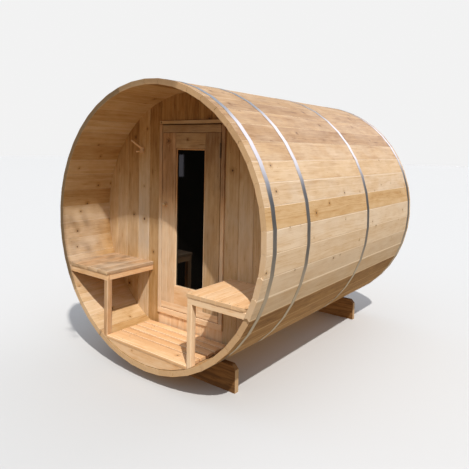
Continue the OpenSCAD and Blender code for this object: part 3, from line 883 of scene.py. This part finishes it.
def box_boards(piece, nodes, along, material, body, slot, tones, ease=BOARD_EASE, steps=1, grey=0.0):
    """One eased board for each solid of these nodes."""
    timber, count = Timber(), 0
    for node in nodes:
        for low, high in solids(node):
            timber.plank(low, high, along, look_of(node, count, tones, grey), ease, steps)
            count += 1
    timber.piece(piece, material, body, slot, *nodes)
    return count


box_boards("frame_uprights", ["door_jambs"], UPWARDS, frame_cedar, "barrel", "door_wood", [0.55],
           JAMB_EASE, grey=0.55)
box_boards("frame_head", ["door_head"], ACROSS, door_cedar, "barrel", "door_wood", [0.68],
           DOOR_EASE, grey=0.4)
box_boards("frame_sill", ["door_sill"], ACROSS, frame_cedar, "barrel", "door_wood", [0.52], DOOR_EASE)
stops = box_boards("frame_stop_strips", ["door_stops"], UPWARDS, door_cedar, "barrel", "door_wood", [AMBER])
print("stop strips:", stops)

# %% Rails
box_boards("door_top_board", ["door_top_rail"], ACROSS, door_cedar, "door", "door_wood", [0.56],
           DOOR_EASE, grey=0.6)
box_boards("door_bottom_board", ["door_bottom_rail"], ACROSS, sunned_cedar, "door", "door_wood", [0.60],
           DOOR_EASE)
low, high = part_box("door_top_rail")
print("the top rail is", round(1000 * (high.z - low.z)), "mm high")

# %% Stiles and panels
GROOVE_CLEAR = 0.0003
pane_low, pane_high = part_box("door_glass")


def grooved_board(piece, node, along, pane_side, material, tone, grey=0.4):
    """A stile or panel of the door, with the groove for the pane in the edge that faces it."""
    low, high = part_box(node)
    across = ACROSS if along == UPWARDS else UPWARDS
    centre = (low + high) / 2
    half, thick = (high[across] - low[across]) / 2, (high.y - low.y) / 2
    near, far = pane_low.y - GROOVE_CLEAR - centre.y, pane_high.y + GROOVE_CLEAR - centre.y
    pane_edge = (pane_low if pane_side > 0 else pane_high)[across] - centre[across]
    bottom = pane_edge - GROOVE_CLEAR * pane_side
    inner, outer = pane_side * half, -pane_side * half
    corners = [(outer, -thick), (inner, -thick), (inner, near), (bottom, near),
               (bottom, far), (inner, far), (inner, thick), (outer, thick)]
    section, edges = eased(corners, BOARD_EASE)
    place = place_with(AXES[along], AXES[across], AXES[DEEP], centre)
    length = (high[along] - low[along]) / 2
    timber = Timber()
    timber.sweep(section, edges, -length, length, place, look_of(node, 0, [tone], grey), end_ease=0)
    timber.piece(piece, material, "door", "door_wood", node)


grooved_board("door_latch_board", "door_latch_stile", UPWARDS, 1, sunned_cedar, 0.50)
grooved_board("door_hinge_board", "door_hinge_stile", UPWARDS, -1, door_cedar, 0.47, 0.5)
grooved_board("door_lower_board", "door_lower_panel", ACROSS, 1, sunned_cedar, 0.50, 0.0)
grooved_board("door_upper_board", "door_upper_panel", ACROSS, -1, door_cedar, 0.54)
print("stiles and panels stand round a pane of", [round(value, 3) for value in pane_high - pane_low])

# %% Beads
beads = box_boards("door_bead_strips", ["door_glazing_beads"], UPWARDS, frame_cedar, "door", "door_wood",
                   [AMBER], ease=0.004, steps=3)
print("bead strips:", beads)

# %% [markdown]
# Floors and fascia
#
# The porch floor has one wide board at the front and narrow slats behind it, with gaps that let water
# through. Under its edge a curved fascia closes the space down to the staves. A plain arc would cut across
# their flats, so the fascia is lofted in steps, and each step reaches down to the flat below it.

# %% Shell reach
SEAT_CLEAR, STEEPEST = 0.0008, 0.2
angles = [stave_angle(number) for number in range(STAVES)]


def shell_reach(height, side):
    """How far to one side the inside of the staves is, at a height."""
    rise = height - AXIS_HEIGHT
    facing = [angle for angle in angles if math.cos(angle) * side > STEEPEST]
    flats = [(INNER - rise * math.sin(angle)) / math.cos(angle) for angle in facing]
    return min(map(abs, flats)) - SEAT_CLEAR


def shell_floor(x):
    """Height of the inside of the staves under a point."""
    facing = [angle for angle in angles if math.sin(angle) < -STEEPEST]
    flats = [(INNER - x * math.cos(angle)) / math.sin(angle) for angle in facing]
    return AXIS_HEIGHT + max(flats) + SEAT_CLEAR


print("the shell is", round(2 * shell_reach(AXIS_HEIGHT, 1), 2), "m wide inside")

# %% Floor boards
FRONT_TONE, FLOOR_TONES = 0.77, [0.74, 0.66, 0.88, 0.76]
SLAT_EASE, SLAT_STEPS = 0.003, 2
timber = Timber()
for number, (low, high) in enumerate(solids("porch_floor")):
    look = look_of("porch_floor", number, FLOOR_TONES if number else [FRONT_TONE])
    timber.plank(low, high, ACROSS, look, SLAT_EASE, SLAT_STEPS)
timber.piece("porch_slats", floor_cedar, "barrel", "floor_board", "porch_floor")
slats = box_boards("cabin_slats", ["cabin_floor"], ACROSS, floor_cedar, "barrel", "floor_board",
                   FLOOR_TONES, SLAT_EASE, SLAT_STEPS)
print("cabin slats:", slats)

# %% Bearers
timber = Timber()
for number, (low, high) in enumerate(solids("floor_bearers")):
    centre = (low + high) / 2
    half, top = (high.x - low.x) / 2, high.z - centre.z
    feet = [(side * half, shell_floor(centre.x + side * half) - centre.z) for side in (-1, 1)]
    section, edges = eased([*feet, (half, top), (-half, top)], BOARD_EASE)
    place = place_with(AXES[DEEP], AXES[ACROSS], AXES[UPWARDS], centre)
    length = (high.y - low.y) / 2
    timber.sweep(section, edges, -length, length, place, look_of("bearer", number, [AMBER]))
timber.piece("bearer_boards", floor_cedar, "barrel", "floor_board", "floor_bearers")
print("bearers:", number + 1)

# %% Fascia
FASCIA_STEPS, FASCIA_GAP, FASCIA_RECESS, FASCIA_TONE = 40, 0.0035, 0.003, 0.90
FASCIA_END, FASCIA_LEAST, FASCIA_DROP = 0.001, 0.0015, 0.0005
low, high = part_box("porch_fascia")
front, reach = low.y + FASCIA_RECESS, high.x - low.x - 2 * FASCIA_END
timber, rings = Timber(), []
for part in range(FASCIA_STEPS + 1):
    x = low.x + FASCIA_END + reach * part / FASCIA_STEPS
    bottom = min(shell_floor(x) + FASCIA_GAP, high.z - FASCIA_LEAST) - high.z
    outline = [(bottom, front), (-FASCIA_DROP, front), (-FASCIA_DROP, high.y), (bottom, high.y)]
    rings.append([(x, *point) for point in outline])
place = place_with(AXES[ACROSS], AXES[UPWARDS], AXES[DEEP], (0.0, 0.0, high.z))
timber.loft(rings, place, look_of("fascia", 0, [FASCIA_TONE]), {})
timber.piece("fascia_board", floor_cedar, "barrel", "floor_board", "porch_fascia")
print("fascia steps:", FASCIA_STEPS)

# %% [markdown]
# Benches
#
# Each bench is four seat boards on a rim of aprons, with a ledger on the wall and one post at the inner
# corner. The outer seat board, the aprons and the post's foot are scribed to the staves, which a plain box
# can't follow, so their ends ask the shell how far it reaches.

# %% Seats
SEAT_EASE, SEAT_STEPS, SEAT_JOINT = 0.002, 3, 0.0010
SEAT_CORNER, CORNER_STEPS = 0.045, 5


def seat_boards(piece, node, side, tone, grey):
    """The four boards of a seat. The one against the shell has a slanted edge and a rounded front corner."""
    timber, boxes = Timber(), solids(node)
    last = len(boxes) - 1
    spare = (boxes[1][0].x - boxes[0][1].x - SEAT_JOINT) / 2
    for number, (low, high) in enumerate(boxes):
        centre = (low + high) / 2
        length = (high.y - low.y) / 2
        place = place_with(AXES[DEEP], AXES[ACROSS], AXES[UPWARDS], centre)
        look = look_of(node, number, [tone], grey)
        left, right = low.x - centre.x - spare * (number > 0), high.x - centre.x + spare * (number < last)
        inner, outer = (left, right) if side > 0 else (right, left)
        bottom, top = low.z - centre.z, high.z - centre.z
        if number != (last if side > 0 else 0):
            corners = [(inner, bottom), (outer, bottom), (outer, top), (inner, top)]
            section, worn_and_lit_edge = eased(corners, SEAT_EASE, SEAT_STEPS)
            timber.sweep(section, worn_and_lit_edge, -length, length, place, look)
            continue
        foot, rim = [side * shell_reach(height, side) - centre.x for height in (low.z, high.z)]
        shares = [1 - math.sin(math.pi / 2 * part / CORNER_STEPS) for part in range(CORNER_STEPS + 1)]
        lower = [(foot - side * SEAT_CORNER * share, bottom) for share in shares]
        upper = [(rim - side * SEAT_CORNER * share, top) for share in reversed(shares)]
        section = [(inner, bottom), *lower, *upper, (inner, top)]

        def nose(v, w, rim=rim):
            inset = min(max(SEAT_CORNER - side * (rim - v), 0.0), SEAT_CORNER)
            return SEAT_CORNER - math.sqrt(SEAT_CORNER ** 2 - inset ** 2) - length
        timber.sweep(section, {}, nose, length, place, look, SEAT_EASE)
    timber.piece(piece, bench_cedar, "barrel", "bench_board", node)
    return last + 1


seat_boards("seat_boards_left", "left_seat", -1, 0.54, 0.75)
print("boards to a seat:", seat_boards("seat_boards_right", "right_seat", 1, HONEY, 0.0))

# %% Aprons, ledgers and posts
SIDE_RAIL = 0.1
LEFT_RAIL, RIGHT_RAIL = 0.84, 1.0
POST_EASE, POST_STEPS, POST_GREY = 0.004, 3, 0.5


def scribed_rails(piece, node):
    """Aprons or ledgers: those that run across end against the shell."""
    timber = Timber()
    for number, (low, high) in enumerate(solids(node)):
        look = look_of(node, number, [LEFT_RAIL if low.x < 0 else RIGHT_RAIL])
        if high.x - low.x < SIDE_RAIL:
            timber.plank(low, high, DEEP, look)
        elif low.x > 0:
            timber.plank(low, high, ACROSS, look, high_end=lambda point: shell_reach(point.z, 1))
        else:
            timber.plank(low, high, ACROSS, look, low_end=lambda point: -shell_reach(point.z, -1))
    timber.piece(piece, bench_cedar, "barrel", "bench_board", node)


scribed_rails("apron_boards", "bench_aprons")
scribed_rails("ledger_boards", "bench_ledgers")
timber = Timber()
for number, (low, high) in enumerate(solids("bench_posts")):
    look = look_of("post", number, [TAN if low.x < 0 else RIGHT_RAIL], POST_GREY * (low.x < 0))
    timber.plank(low, high, UPWARDS, look, POST_EASE, POST_STEPS, low_end=lambda point: shell_floor(point.x))
timber.piece("post_boards", bench_cedar, "barrel", "bench_board", "bench_posts")
print("bench posts:", number + 1)

# %% [markdown]
# Screws
#
# Small dark screws hold the seat boards, the slats and the head of the frame. One screw is turned from a
# short profile, with a socket in its head, and copied to its places in a single mesh: a modifier could
# scatter them, but a list of places is exact. Their steel is blackened and a little mottled, and the hinges
# have the same finish in bronze.

# %% Dark steel
STEEL_BLOTCHES, DARKER, LIGHTER, GLOSS_SPREAD = 160.0, 0.6, 1.5, 0.2


def dark_steel(name, colour, roughness):
    """Blackened steel with a faint mottle."""
    material, paper = new_finish(name)
    mottle = noise(vector(*[value * STEEL_BLOTCHES for value in object_place(paper)]), 3.0)
    shades = [(0.2, [value * DARKER for value in colour]), (0.8, [value * LIGHTER for value in colour])]
    surface(paper, {
        "Base Color": ramp(mottle, shades),
        "Metallic": 0.8,
        "Roughness": mottle * GLOSS_SPREAD + (roughness - GLOSS_SPREAD / 2),
        "Normal": bump(mottle, 0.2, 0.0003),
    })
    return material


screw_steel = dark_steel("screw_steel", (0.22, 0.17, 0.12), 0.45)
hinge_bronze = dark_steel("hinge_bronze", (0.13, 0.090, 0.060), 0.42)
blackened_steel = dark_steel("blackened_steel", (0.030, 0.019, 0.011), 0.70)
print("finishes:", len(bpy.data.materials))

# %% Screw heads
SCREW_SIDES = 12
SOCKET_FLOOR = -0.0012
SCREW_RINGS = [(0.0012, SOCKET_FLOOR), (0.0016, 0.0003), (0.0034, 0.0003), (0.0042, -0.0003)]
print("a screw head is", round(2000 * SCREW_RINGS[-1][0], 1), "mm wide")


def screws(piece, places, facing, material, scale=1.0):
    """Screw heads at these places, with their heads facing one way."""
    points, faces = [], []
    turn = AXES[UPWARDS].rotation_difference(facing).to_matrix() * scale
    for place in places:
        start = len(points) + 1
        points.append(place + turn @ Vector((0.0, 0.0, SOCKET_FLOOR)))
        for radius, height in SCREW_RINGS:
            for side in range(SCREW_SIDES):
                angle = 2 * math.pi * side / SCREW_SIDES
                point = Vector((radius * math.cos(angle), radius * math.sin(angle), height))
                points.append(place + turn @ point)
        for side in range(SCREW_SIDES):
            after = (side + 1) % SCREW_SIDES
            faces.append((start - 1, start + side, start + after))
            for level in range(len(SCREW_RINGS) - 1):
                low = start + level * SCREW_SIDES
                high = low + SCREW_SIDES
                faces.append((low + side, high + side, high + after, low + after))
        faces.append(tuple(range(len(points) - SCREW_SIDES, len(points))))
    mesh = bpy.data.meshes.new(piece)
    mesh.from_pydata(points, [], faces)
    new_piece(piece, mesh, material, "barrel", "hinge_steel")


# %% Screw places
SCREW_INSET, HEAD_SCREW_SCALE = 0.018, 1.9
SHARES = 0.25, 0.75
seat_places, slat_places = [], []
for node in ("left_seat", "right_seat"):
    for low, high in solids(node):
        for x in [low.x + (high.x - low.x) * share for share in SHARES]:
            seat_places += [Vector((x, y, high.z)) for y in (low.y + SCREW_INSET, high.y - SCREW_INSET)]
bearers = sorted({round((low.x + high.x) / 2, 4) for low, high in solids("floor_bearers")})
for node in ("porch_floor", "cabin_floor"):
    for low, high in solids(node):
        rows = [low.y + (high.y - low.y) * share for share in SHARES]
        slat_places += [Vector((x, y, high.z)) for x in bearers for y in rows]
low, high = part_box("door_head")
ends = low.x + SCREW_INSET, high.x - SCREW_INSET
head_places = [Vector((x, low.y, (low.z + high.z) / 2)) for x in ends]

screws("seat_screws", seat_places, AXES[UPWARDS], screw_steel)
screws("slat_screws", slat_places, AXES[UPWARDS], screw_steel)
screws("head_screws", head_places, -AXES[DEEP], blackened_steel, HEAD_SCREW_SCALE)
print("screws:", len(seat_places) + len(slat_places) + len(head_places))

# %% [markdown]
# Steel hoops
#
# Four bands of stainless steel draw the staves together. Their solids already have the right shape, so they
# only need a finish: the brush marks run round the barrel, so the noise is stretched along the angle round
# the axis. The solid of a band is many short flats, and real steel bends smoothly over the staves. A finer
# mesh would take its place, but a modifier that only smooths the light leaves the solid as it is.

# %% Hoop steel
BRUSH_ACROSS, BRUSH_ROUND, STAINS = 1800.0, 14.0, 7.0
BRUSH_GLOSS, STAIN_GLOSS, STEEL_GLOSS = 0.10, 0.14, 0.20


def brushed_steel(name):
    """Stainless steel, brushed round the barrel, with a few dull stains."""
    material, paper = new_finish(name)
    x, y, z = object_place(paper)
    around = paper.math("ARCTAN2", z - AXIS_HEIGHT, x)
    brush = noise(vector(y * BRUSH_ACROSS, around * BRUSH_ROUND, 0.0), 3.0)
    stain = noise(vector(x * STAINS, y * STAINS, z * STAINS), 4.0)
    surface(paper, {
        "Base Color": ramp(stain, [(0.25, (0.38, 0.38, 0.40)), (0.75, (0.52, 0.52, 0.55))]),
        "Metallic": 1.0,
        "Roughness": brush * BRUSH_GLOSS + stain * STAIN_GLOSS + STEEL_GLOSS,
        "Normal": bump(brush, 0.12, 0.0002),
    })
    return material


def dress(material, *nodes):
    """Give solids that keep their own shape a finish."""
    for node in nodes:
        solid = frame["nodes"][node]
        solid.data.materials.clear()
        solid.data.materials.append(material)


HOOPS = "porch_hoop", "wall_hoop", "cabin_hoop", "back_hoop"
dress(brushed_steel("hoop_steel"), *HOOPS, "hoop_bolts")
dress(hinge_bronze, "hinge_frame_leaves", "hinge_door_leaves", "hinge_pins")
print("hoops dressed:", len(HOOPS))

# %% Smooth light on the hoops
SHARP_TURN = math.radians(30.0)


def rounded_light(name):
    """Nodes of a modifier that lets light run smoothly over the flats of a band and keeps its edges sharp."""
    group = bpy.data.node_groups.new(name, "GeometryNodeTree")
    for way in ("INPUT", "OUTPUT"):
        group.interface.new_socket("Geometry", in_out=way, socket_type="NodeSocketGeometry")
    paper = Wire(group)
    sockets = {"Geometry": paper.node("NodeGroupInput"), "Distance": WELD}
    band = paper.node("GeometryNodeMergeByDistance", sockets=sockets)
    sockets = {"Geometry": band, "Shade Smooth": True}
    band = paper.node("GeometryNodeSetShadeSmooth", {"domain": "FACE"}, sockets)
    sockets = {0: paper.node("GeometryNodeInputMeshEdgeAngle"), 1: SHARP_TURN}
    sharp = paper.node("FunctionNodeCompare", {"operation": "GREATER_THAN"}, sockets)
    sockets = {"Geometry": band, "Selection": sharp, "Shade Smooth": False}
    band = paper.node("GeometryNodeSetShadeSmooth", {"domain": "EDGE"}, sockets)
    paper.node("NodeGroupOutput", sockets={0: band})
    return group


rounding = rounded_light("rounded_light")
for node in HOOPS:
    frame["nodes"][node].modifiers.new("rounded light", "NODES").node_group = rounding
print("nodes that round the light:", len(rounding.nodes))

# %% [markdown]
# Glass, turned wood and cradles
#
# The pane is dark tinted glass, almost black from outside and glossy enough to mirror the porch. The knob and
# the coat hook are turned from light wood. The cradles are rough planks, so their cedar is duller, and their
# dark tone is painted shade, the shade under the barrel.
# All of these keep their solids: a finish is enough, and the cradles get a small bevel by a modifier.

# %% Tinted glass
SMEARS_ACROSS, SMEARS_UP, SMEAR_GLOSS, GLASS_GLOSS = 9.0, 5.0, 0.03, 0.015


def tinted_glass(name):
    """Dark, polished glass, with faint smears that change its gloss."""
    material, paper = new_finish(name)
    x, y, z = object_place(paper)
    smear = noise(vector(x * SMEARS_ACROSS, y, z * SMEARS_UP), 3.0)
    surface(paper, {
        "Base Color": ramp(smear, [(0.0, (0.0015, 0.0012, 0.001)), (1.0, (0.004, 0.0035, 0.003))]),
        "Roughness": smear * SMEAR_GLOSS + GLASS_GLOSS,
        "IOR": 1.5,
        "Alpha": 0.97,
    })
    return material


dress(tinted_glass("tinted_glass"), "door_glass")
print("pane dressed with", frame["nodes"]["door_glass"].data.materials[0].name)

# %% Turned wood and cradles
# The cradles' dark tone is painted shade.
KNOB_LOOK, HOOK_LOOK, CRADLE_LOOK = (0.31, HONEY, 0.0), (0.31, CREAM, 0.0), (0.62, 0.16, 0.2)
CRADLES, CRADLE_BEVEL = ("front_cradle", "rear_cradle"), 0.003
turned = {"roughness": 0.45, "knots": 0.0}
dress(cedar("knob_cedar", OILED, solid_grain(DEEP, ACROSS, UPWARDS, KNOB_LOOK), **turned), "door_knob")
dress(cedar("hook_cedar", FRESH, solid_grain(DEEP, ACROSS, UPWARDS, HOOK_LOOK), **turned), "coat_hook")
plank_grain = solid_grain(ACROSS, UPWARDS, DEEP, CRADLE_LOOK)
dress(cedar("cradle_cedar", OILED, plank_grain, roughness=0.75, knots=0.6), *CRADLES)
for node in CRADLES:
    bevel = frame["nodes"][node].modifiers.new("eased edges", "BEVEL")
    bevel.width, bevel.segments, bevel.limit_method = CRADLE_BEVEL, 2, "ANGLE"
print("finishes:", len(bpy.data.materials))

# %% [markdown]
# Floor
#
# The sauna stands on a plain pale floor, which only catches its shadow. A floor also throws light back, but
# this one takes no part in the bounced light, which keeps the underside of the barrel dark.

# %% Floor
FLOOR_HALF = 60.0
SQUARE = [(-1, -1), (1, -1), (1, 1), (-1, 1)]


def stage_sheet(name, points, faces, material):
    """A sheet that isn't part of the sauna, and that neither bounces light nor shows in a mirror."""
    mesh = bpy.data.meshes.new(name)
    mesh.from_pydata(points, [], faces)
    mesh.materials.append(material)
    sheet = bpy.data.objects.new(name, mesh)
    sheet.visible_diffuse = sheet.visible_glossy = False
    bpy.context.collection.objects.link(sheet)
    return sheet


pale, paper = new_finish("pale_floor")
surface(paper, {"Base Color": (0.535, 0.53, 0.52, 1.0), "Roughness": 0.9, "Specular IOR Level": 0.1})
stage_sheet("floor", [(x * FLOOR_HALF, y * FLOOR_HALF, 0.0) for x, y in SQUARE], [(0, 1, 2, 3)], pale)
print("floor is", 2 * FLOOR_HALF, "m wide")

# %% [markdown]
# Sun and shade
#
# One sun comes from the front right and high up. It would light the porch's left side and the whole rim, but
# there the light is broken: the upper left staves and the left half of the rim lie in shade. A lamp can't
# shine on one half of a ring only, so two cards stand well ahead of the barrel, towards the sun, and hold its
# light off. The camera doesn't see them. The first is pierced by noise, for shade with holes in it, and the
# second is a part of a ring.

# %% Sun
SUN_TRAVEL = Vector((-0.455, 0.372, -0.809))
SUN_STRENGTH, SUN_WIDTH, SUN_COLOUR = 3.6, math.radians(0.8), (1.0, 0.97, 0.93)
sun = bpy.data.objects.new("sun", bpy.data.lights.new("sun", "SUN"))
sun.data.energy, sun.data.angle, sun.data.color = SUN_STRENGTH, SUN_WIDTH, SUN_COLOUR
sun.rotation_euler = SUN_TRAVEL.to_track_quat("-Z", "Y").to_euler()
bpy.context.collection.objects.link(sun)
towards_sun = -SUN_TRAVEL.normalized()
print("sun from", [round(value, 2) for value in towards_sun])

# %% Shade card
CARD_WIDE, CARD_HIGH, CARD_PLACE = 0.53, 0.75, Vector((-1.265, 0.455, 4.60))
HOLES, HOLE_EDGE, HOLE_SHADE = 13.0, (0.50, 0.62), 0.6
SOLID_SLANT, SOLID_EDGE = 0.66, (0.29, 0.37)
pierced, paper = new_finish("pierced_card")
x, y, _ = object_place(paper)
cover = step(noise(vector(x * HOLES, y * HOLES, 0.0)), *HOLE_EDGE) * HOLE_SHADE
solid = step(y - x * SOLID_SLANT, *SOLID_EDGE)
surface(paper, {"Base Color": (0.1, 0.1, 0.1, 1.0), "Alpha": paper.math("MAXIMUM", cover, solid)})

points = [(x * CARD_WIDE / 2, y * CARD_HIGH / 2, 0.0) for x, y in SQUARE]
card = stage_sheet("shade_card", points, [(0, 1, 2, 3)], pierced)
card_right = Vector((-towards_sun.y, towards_sun.x, 0.0)).normalized()
facing_sun = place_with(card_right, towards_sun.cross(card_right), towards_sun, (0.0, 0.0, 0.0))
card.matrix_world = facing_sun @ Matrix.Translation(CARD_PLACE)
card.visible_camera = False
print("shade card at", [round(value, 2) for value in card.matrix_world.translation])

# %% Shade over the rim
RIM_START, RIM_TURN = math.radians(73.0), math.radians(139.0)
RIM_REACH, RIM_AHEAD, RIM_STEPS = (0.93, 1.0), 2.6, 48
points = []
for part in range(RIM_STEPS + 1):
    angle = RIM_START + RIM_TURN * part / RIM_STEPS
    outwards = Vector((math.cos(angle), 0.0, math.sin(angle)))
    points += [outwards * reach + Vector((0.0, porch_rim, AXIS_HEIGHT)) for reach in RIM_REACH]
faces = [(part, part + 1, part + 3, part + 2) for part in range(0, 2 * RIM_STEPS, 2)]
rim_shade = stage_sheet("rim_shade", points, faces, pale)
rim_shade.location = towards_sun * RIM_AHEAD
rim_shade.visible_camera = False
print("rim shade spans", round(math.degrees(RIM_TURN)), "degrees")

# %% [markdown]
# Light in the pane
#
# Dark glass shows mostly what it mirrors. Near its upper left corner it mirrors one pale strip. A patch in
# the surround would have soft round edges, so a small lamp stands where the pane mirrors it. The camera sees
# only its mirror image.

# %% Light in the pane
GLEAM_SEEN_AT = Vector((-0.106, -0.746, 1.452))
GLEAM_TOWARDS = Vector((-0.6926, -0.7205, -0.0365))
GLEAM_DISTANCE, GLEAM_WIDE, GLEAM_HIGH = 4.0, 0.075, 0.34
GLEAM_COLOUR, GLEAM_RADIANCE = (0.86, 0.82, 0.94), 0.95
gleam = bpy.data.objects.new("pane_gleam", bpy.data.lights.new("pane_gleam", "AREA"))
gleam.data.shape, gleam.data.size, gleam.data.size_y = "RECTANGLE", GLEAM_WIDE, GLEAM_HIGH
gleam.data.color = GLEAM_COLOUR
gleam.data.energy = GLEAM_RADIANCE * math.pi * GLEAM_WIDE * GLEAM_HIGH
gleam.location = GLEAM_SEEN_AT + GLEAM_TOWARDS * GLEAM_DISTANCE
gleam.rotation_euler = (-GLEAM_TOWARDS).to_track_quat("-Z", "Y").to_euler()
gleam.visible_camera = gleam.visible_diffuse = False
bpy.context.collection.objects.link(gleam)
print("pane lamp of", round(gleam.data.energy, 3), "W")

# %% [markdown]
# Surround
#
# The surround gives the fill light, and the steel and the glass something to mirror. A plain grey one would
# leave them flat, so it is warm below, dark near the horizon and pale blue above, with a few soft patches:
# a bright one behind the roof, for the light along the hoops, and darker and warmer ones in front. The camera
# sees a plain backdrop instead.

# %% Surround
BACKDROP = (0.89, 0.89, 0.89, 1.0)
SURROUND = [
    (0.00, (0.50, 0.38, 0.23)),
    (0.41, (0.86, 0.67, 0.43)),
    (0.50, (0.12, 0.12, 0.11)),
    (0.58, (0.10, 0.11, 0.11)),
    (0.72, (0.62, 0.68, 0.76)),
    (1.00, (0.80, 0.88, 1.00)),
]
BRIGHT_SKY = (2.7, 2.55, 2.65, 1.0), (0.13, 0.86, 0.49), (0.92, 0.99)
DARK_BACK = (0.20, 0.185, 0.16, 1.0), (0.45, 0.88, -0.15), (0.90, 0.985)
WARM_FRONT = (0.52, 0.39, 0.26, 1.0), (-0.05, -0.80, -0.60), (0.45, 0.80)
DARK_FRONT = (0.02, 0.02, 0.015, 1.0), (-0.67, -0.73, -0.12), (0.90, 0.96)
PATCHES = BRIGHT_SKY, DARK_BACK, WARM_FRONT, DARK_FRONT

world = bpy.data.worlds.new("surround")
world.use_nodes = True
world.node_tree.nodes.clear()
paper = Wire(world.node_tree)
direction = paper.node("ShaderNodeTexCoord", out="Generated")
around = ramp(direction.parts()[UPWARDS] * 0.5 + 0.5, SURROUND)
for colour, towards, edge in PATCHES:
    sockets = {0: direction, 1: Vector(towards).normalized()}
    facing = paper.node("ShaderNodeVectorMath", {"operation": "DOT_PRODUCT"}, sockets, out="Value")
    around = blend(step(facing, *edge), around, colour)
seen = paper.node("ShaderNodeLightPath", out="Is Camera Ray")
light = paper.node("ShaderNodeBackground", sockets={"Color": blend(seen, around, BACKDROP), "Strength": 1.0})
paper.node("ShaderNodeOutputWorld", sockets={"Surface": light})
bpy.context.scene.world = world
bpy.context.scene.view_settings.view_transform = "Standard"
print("patches in the surround:", len(PATCHES))
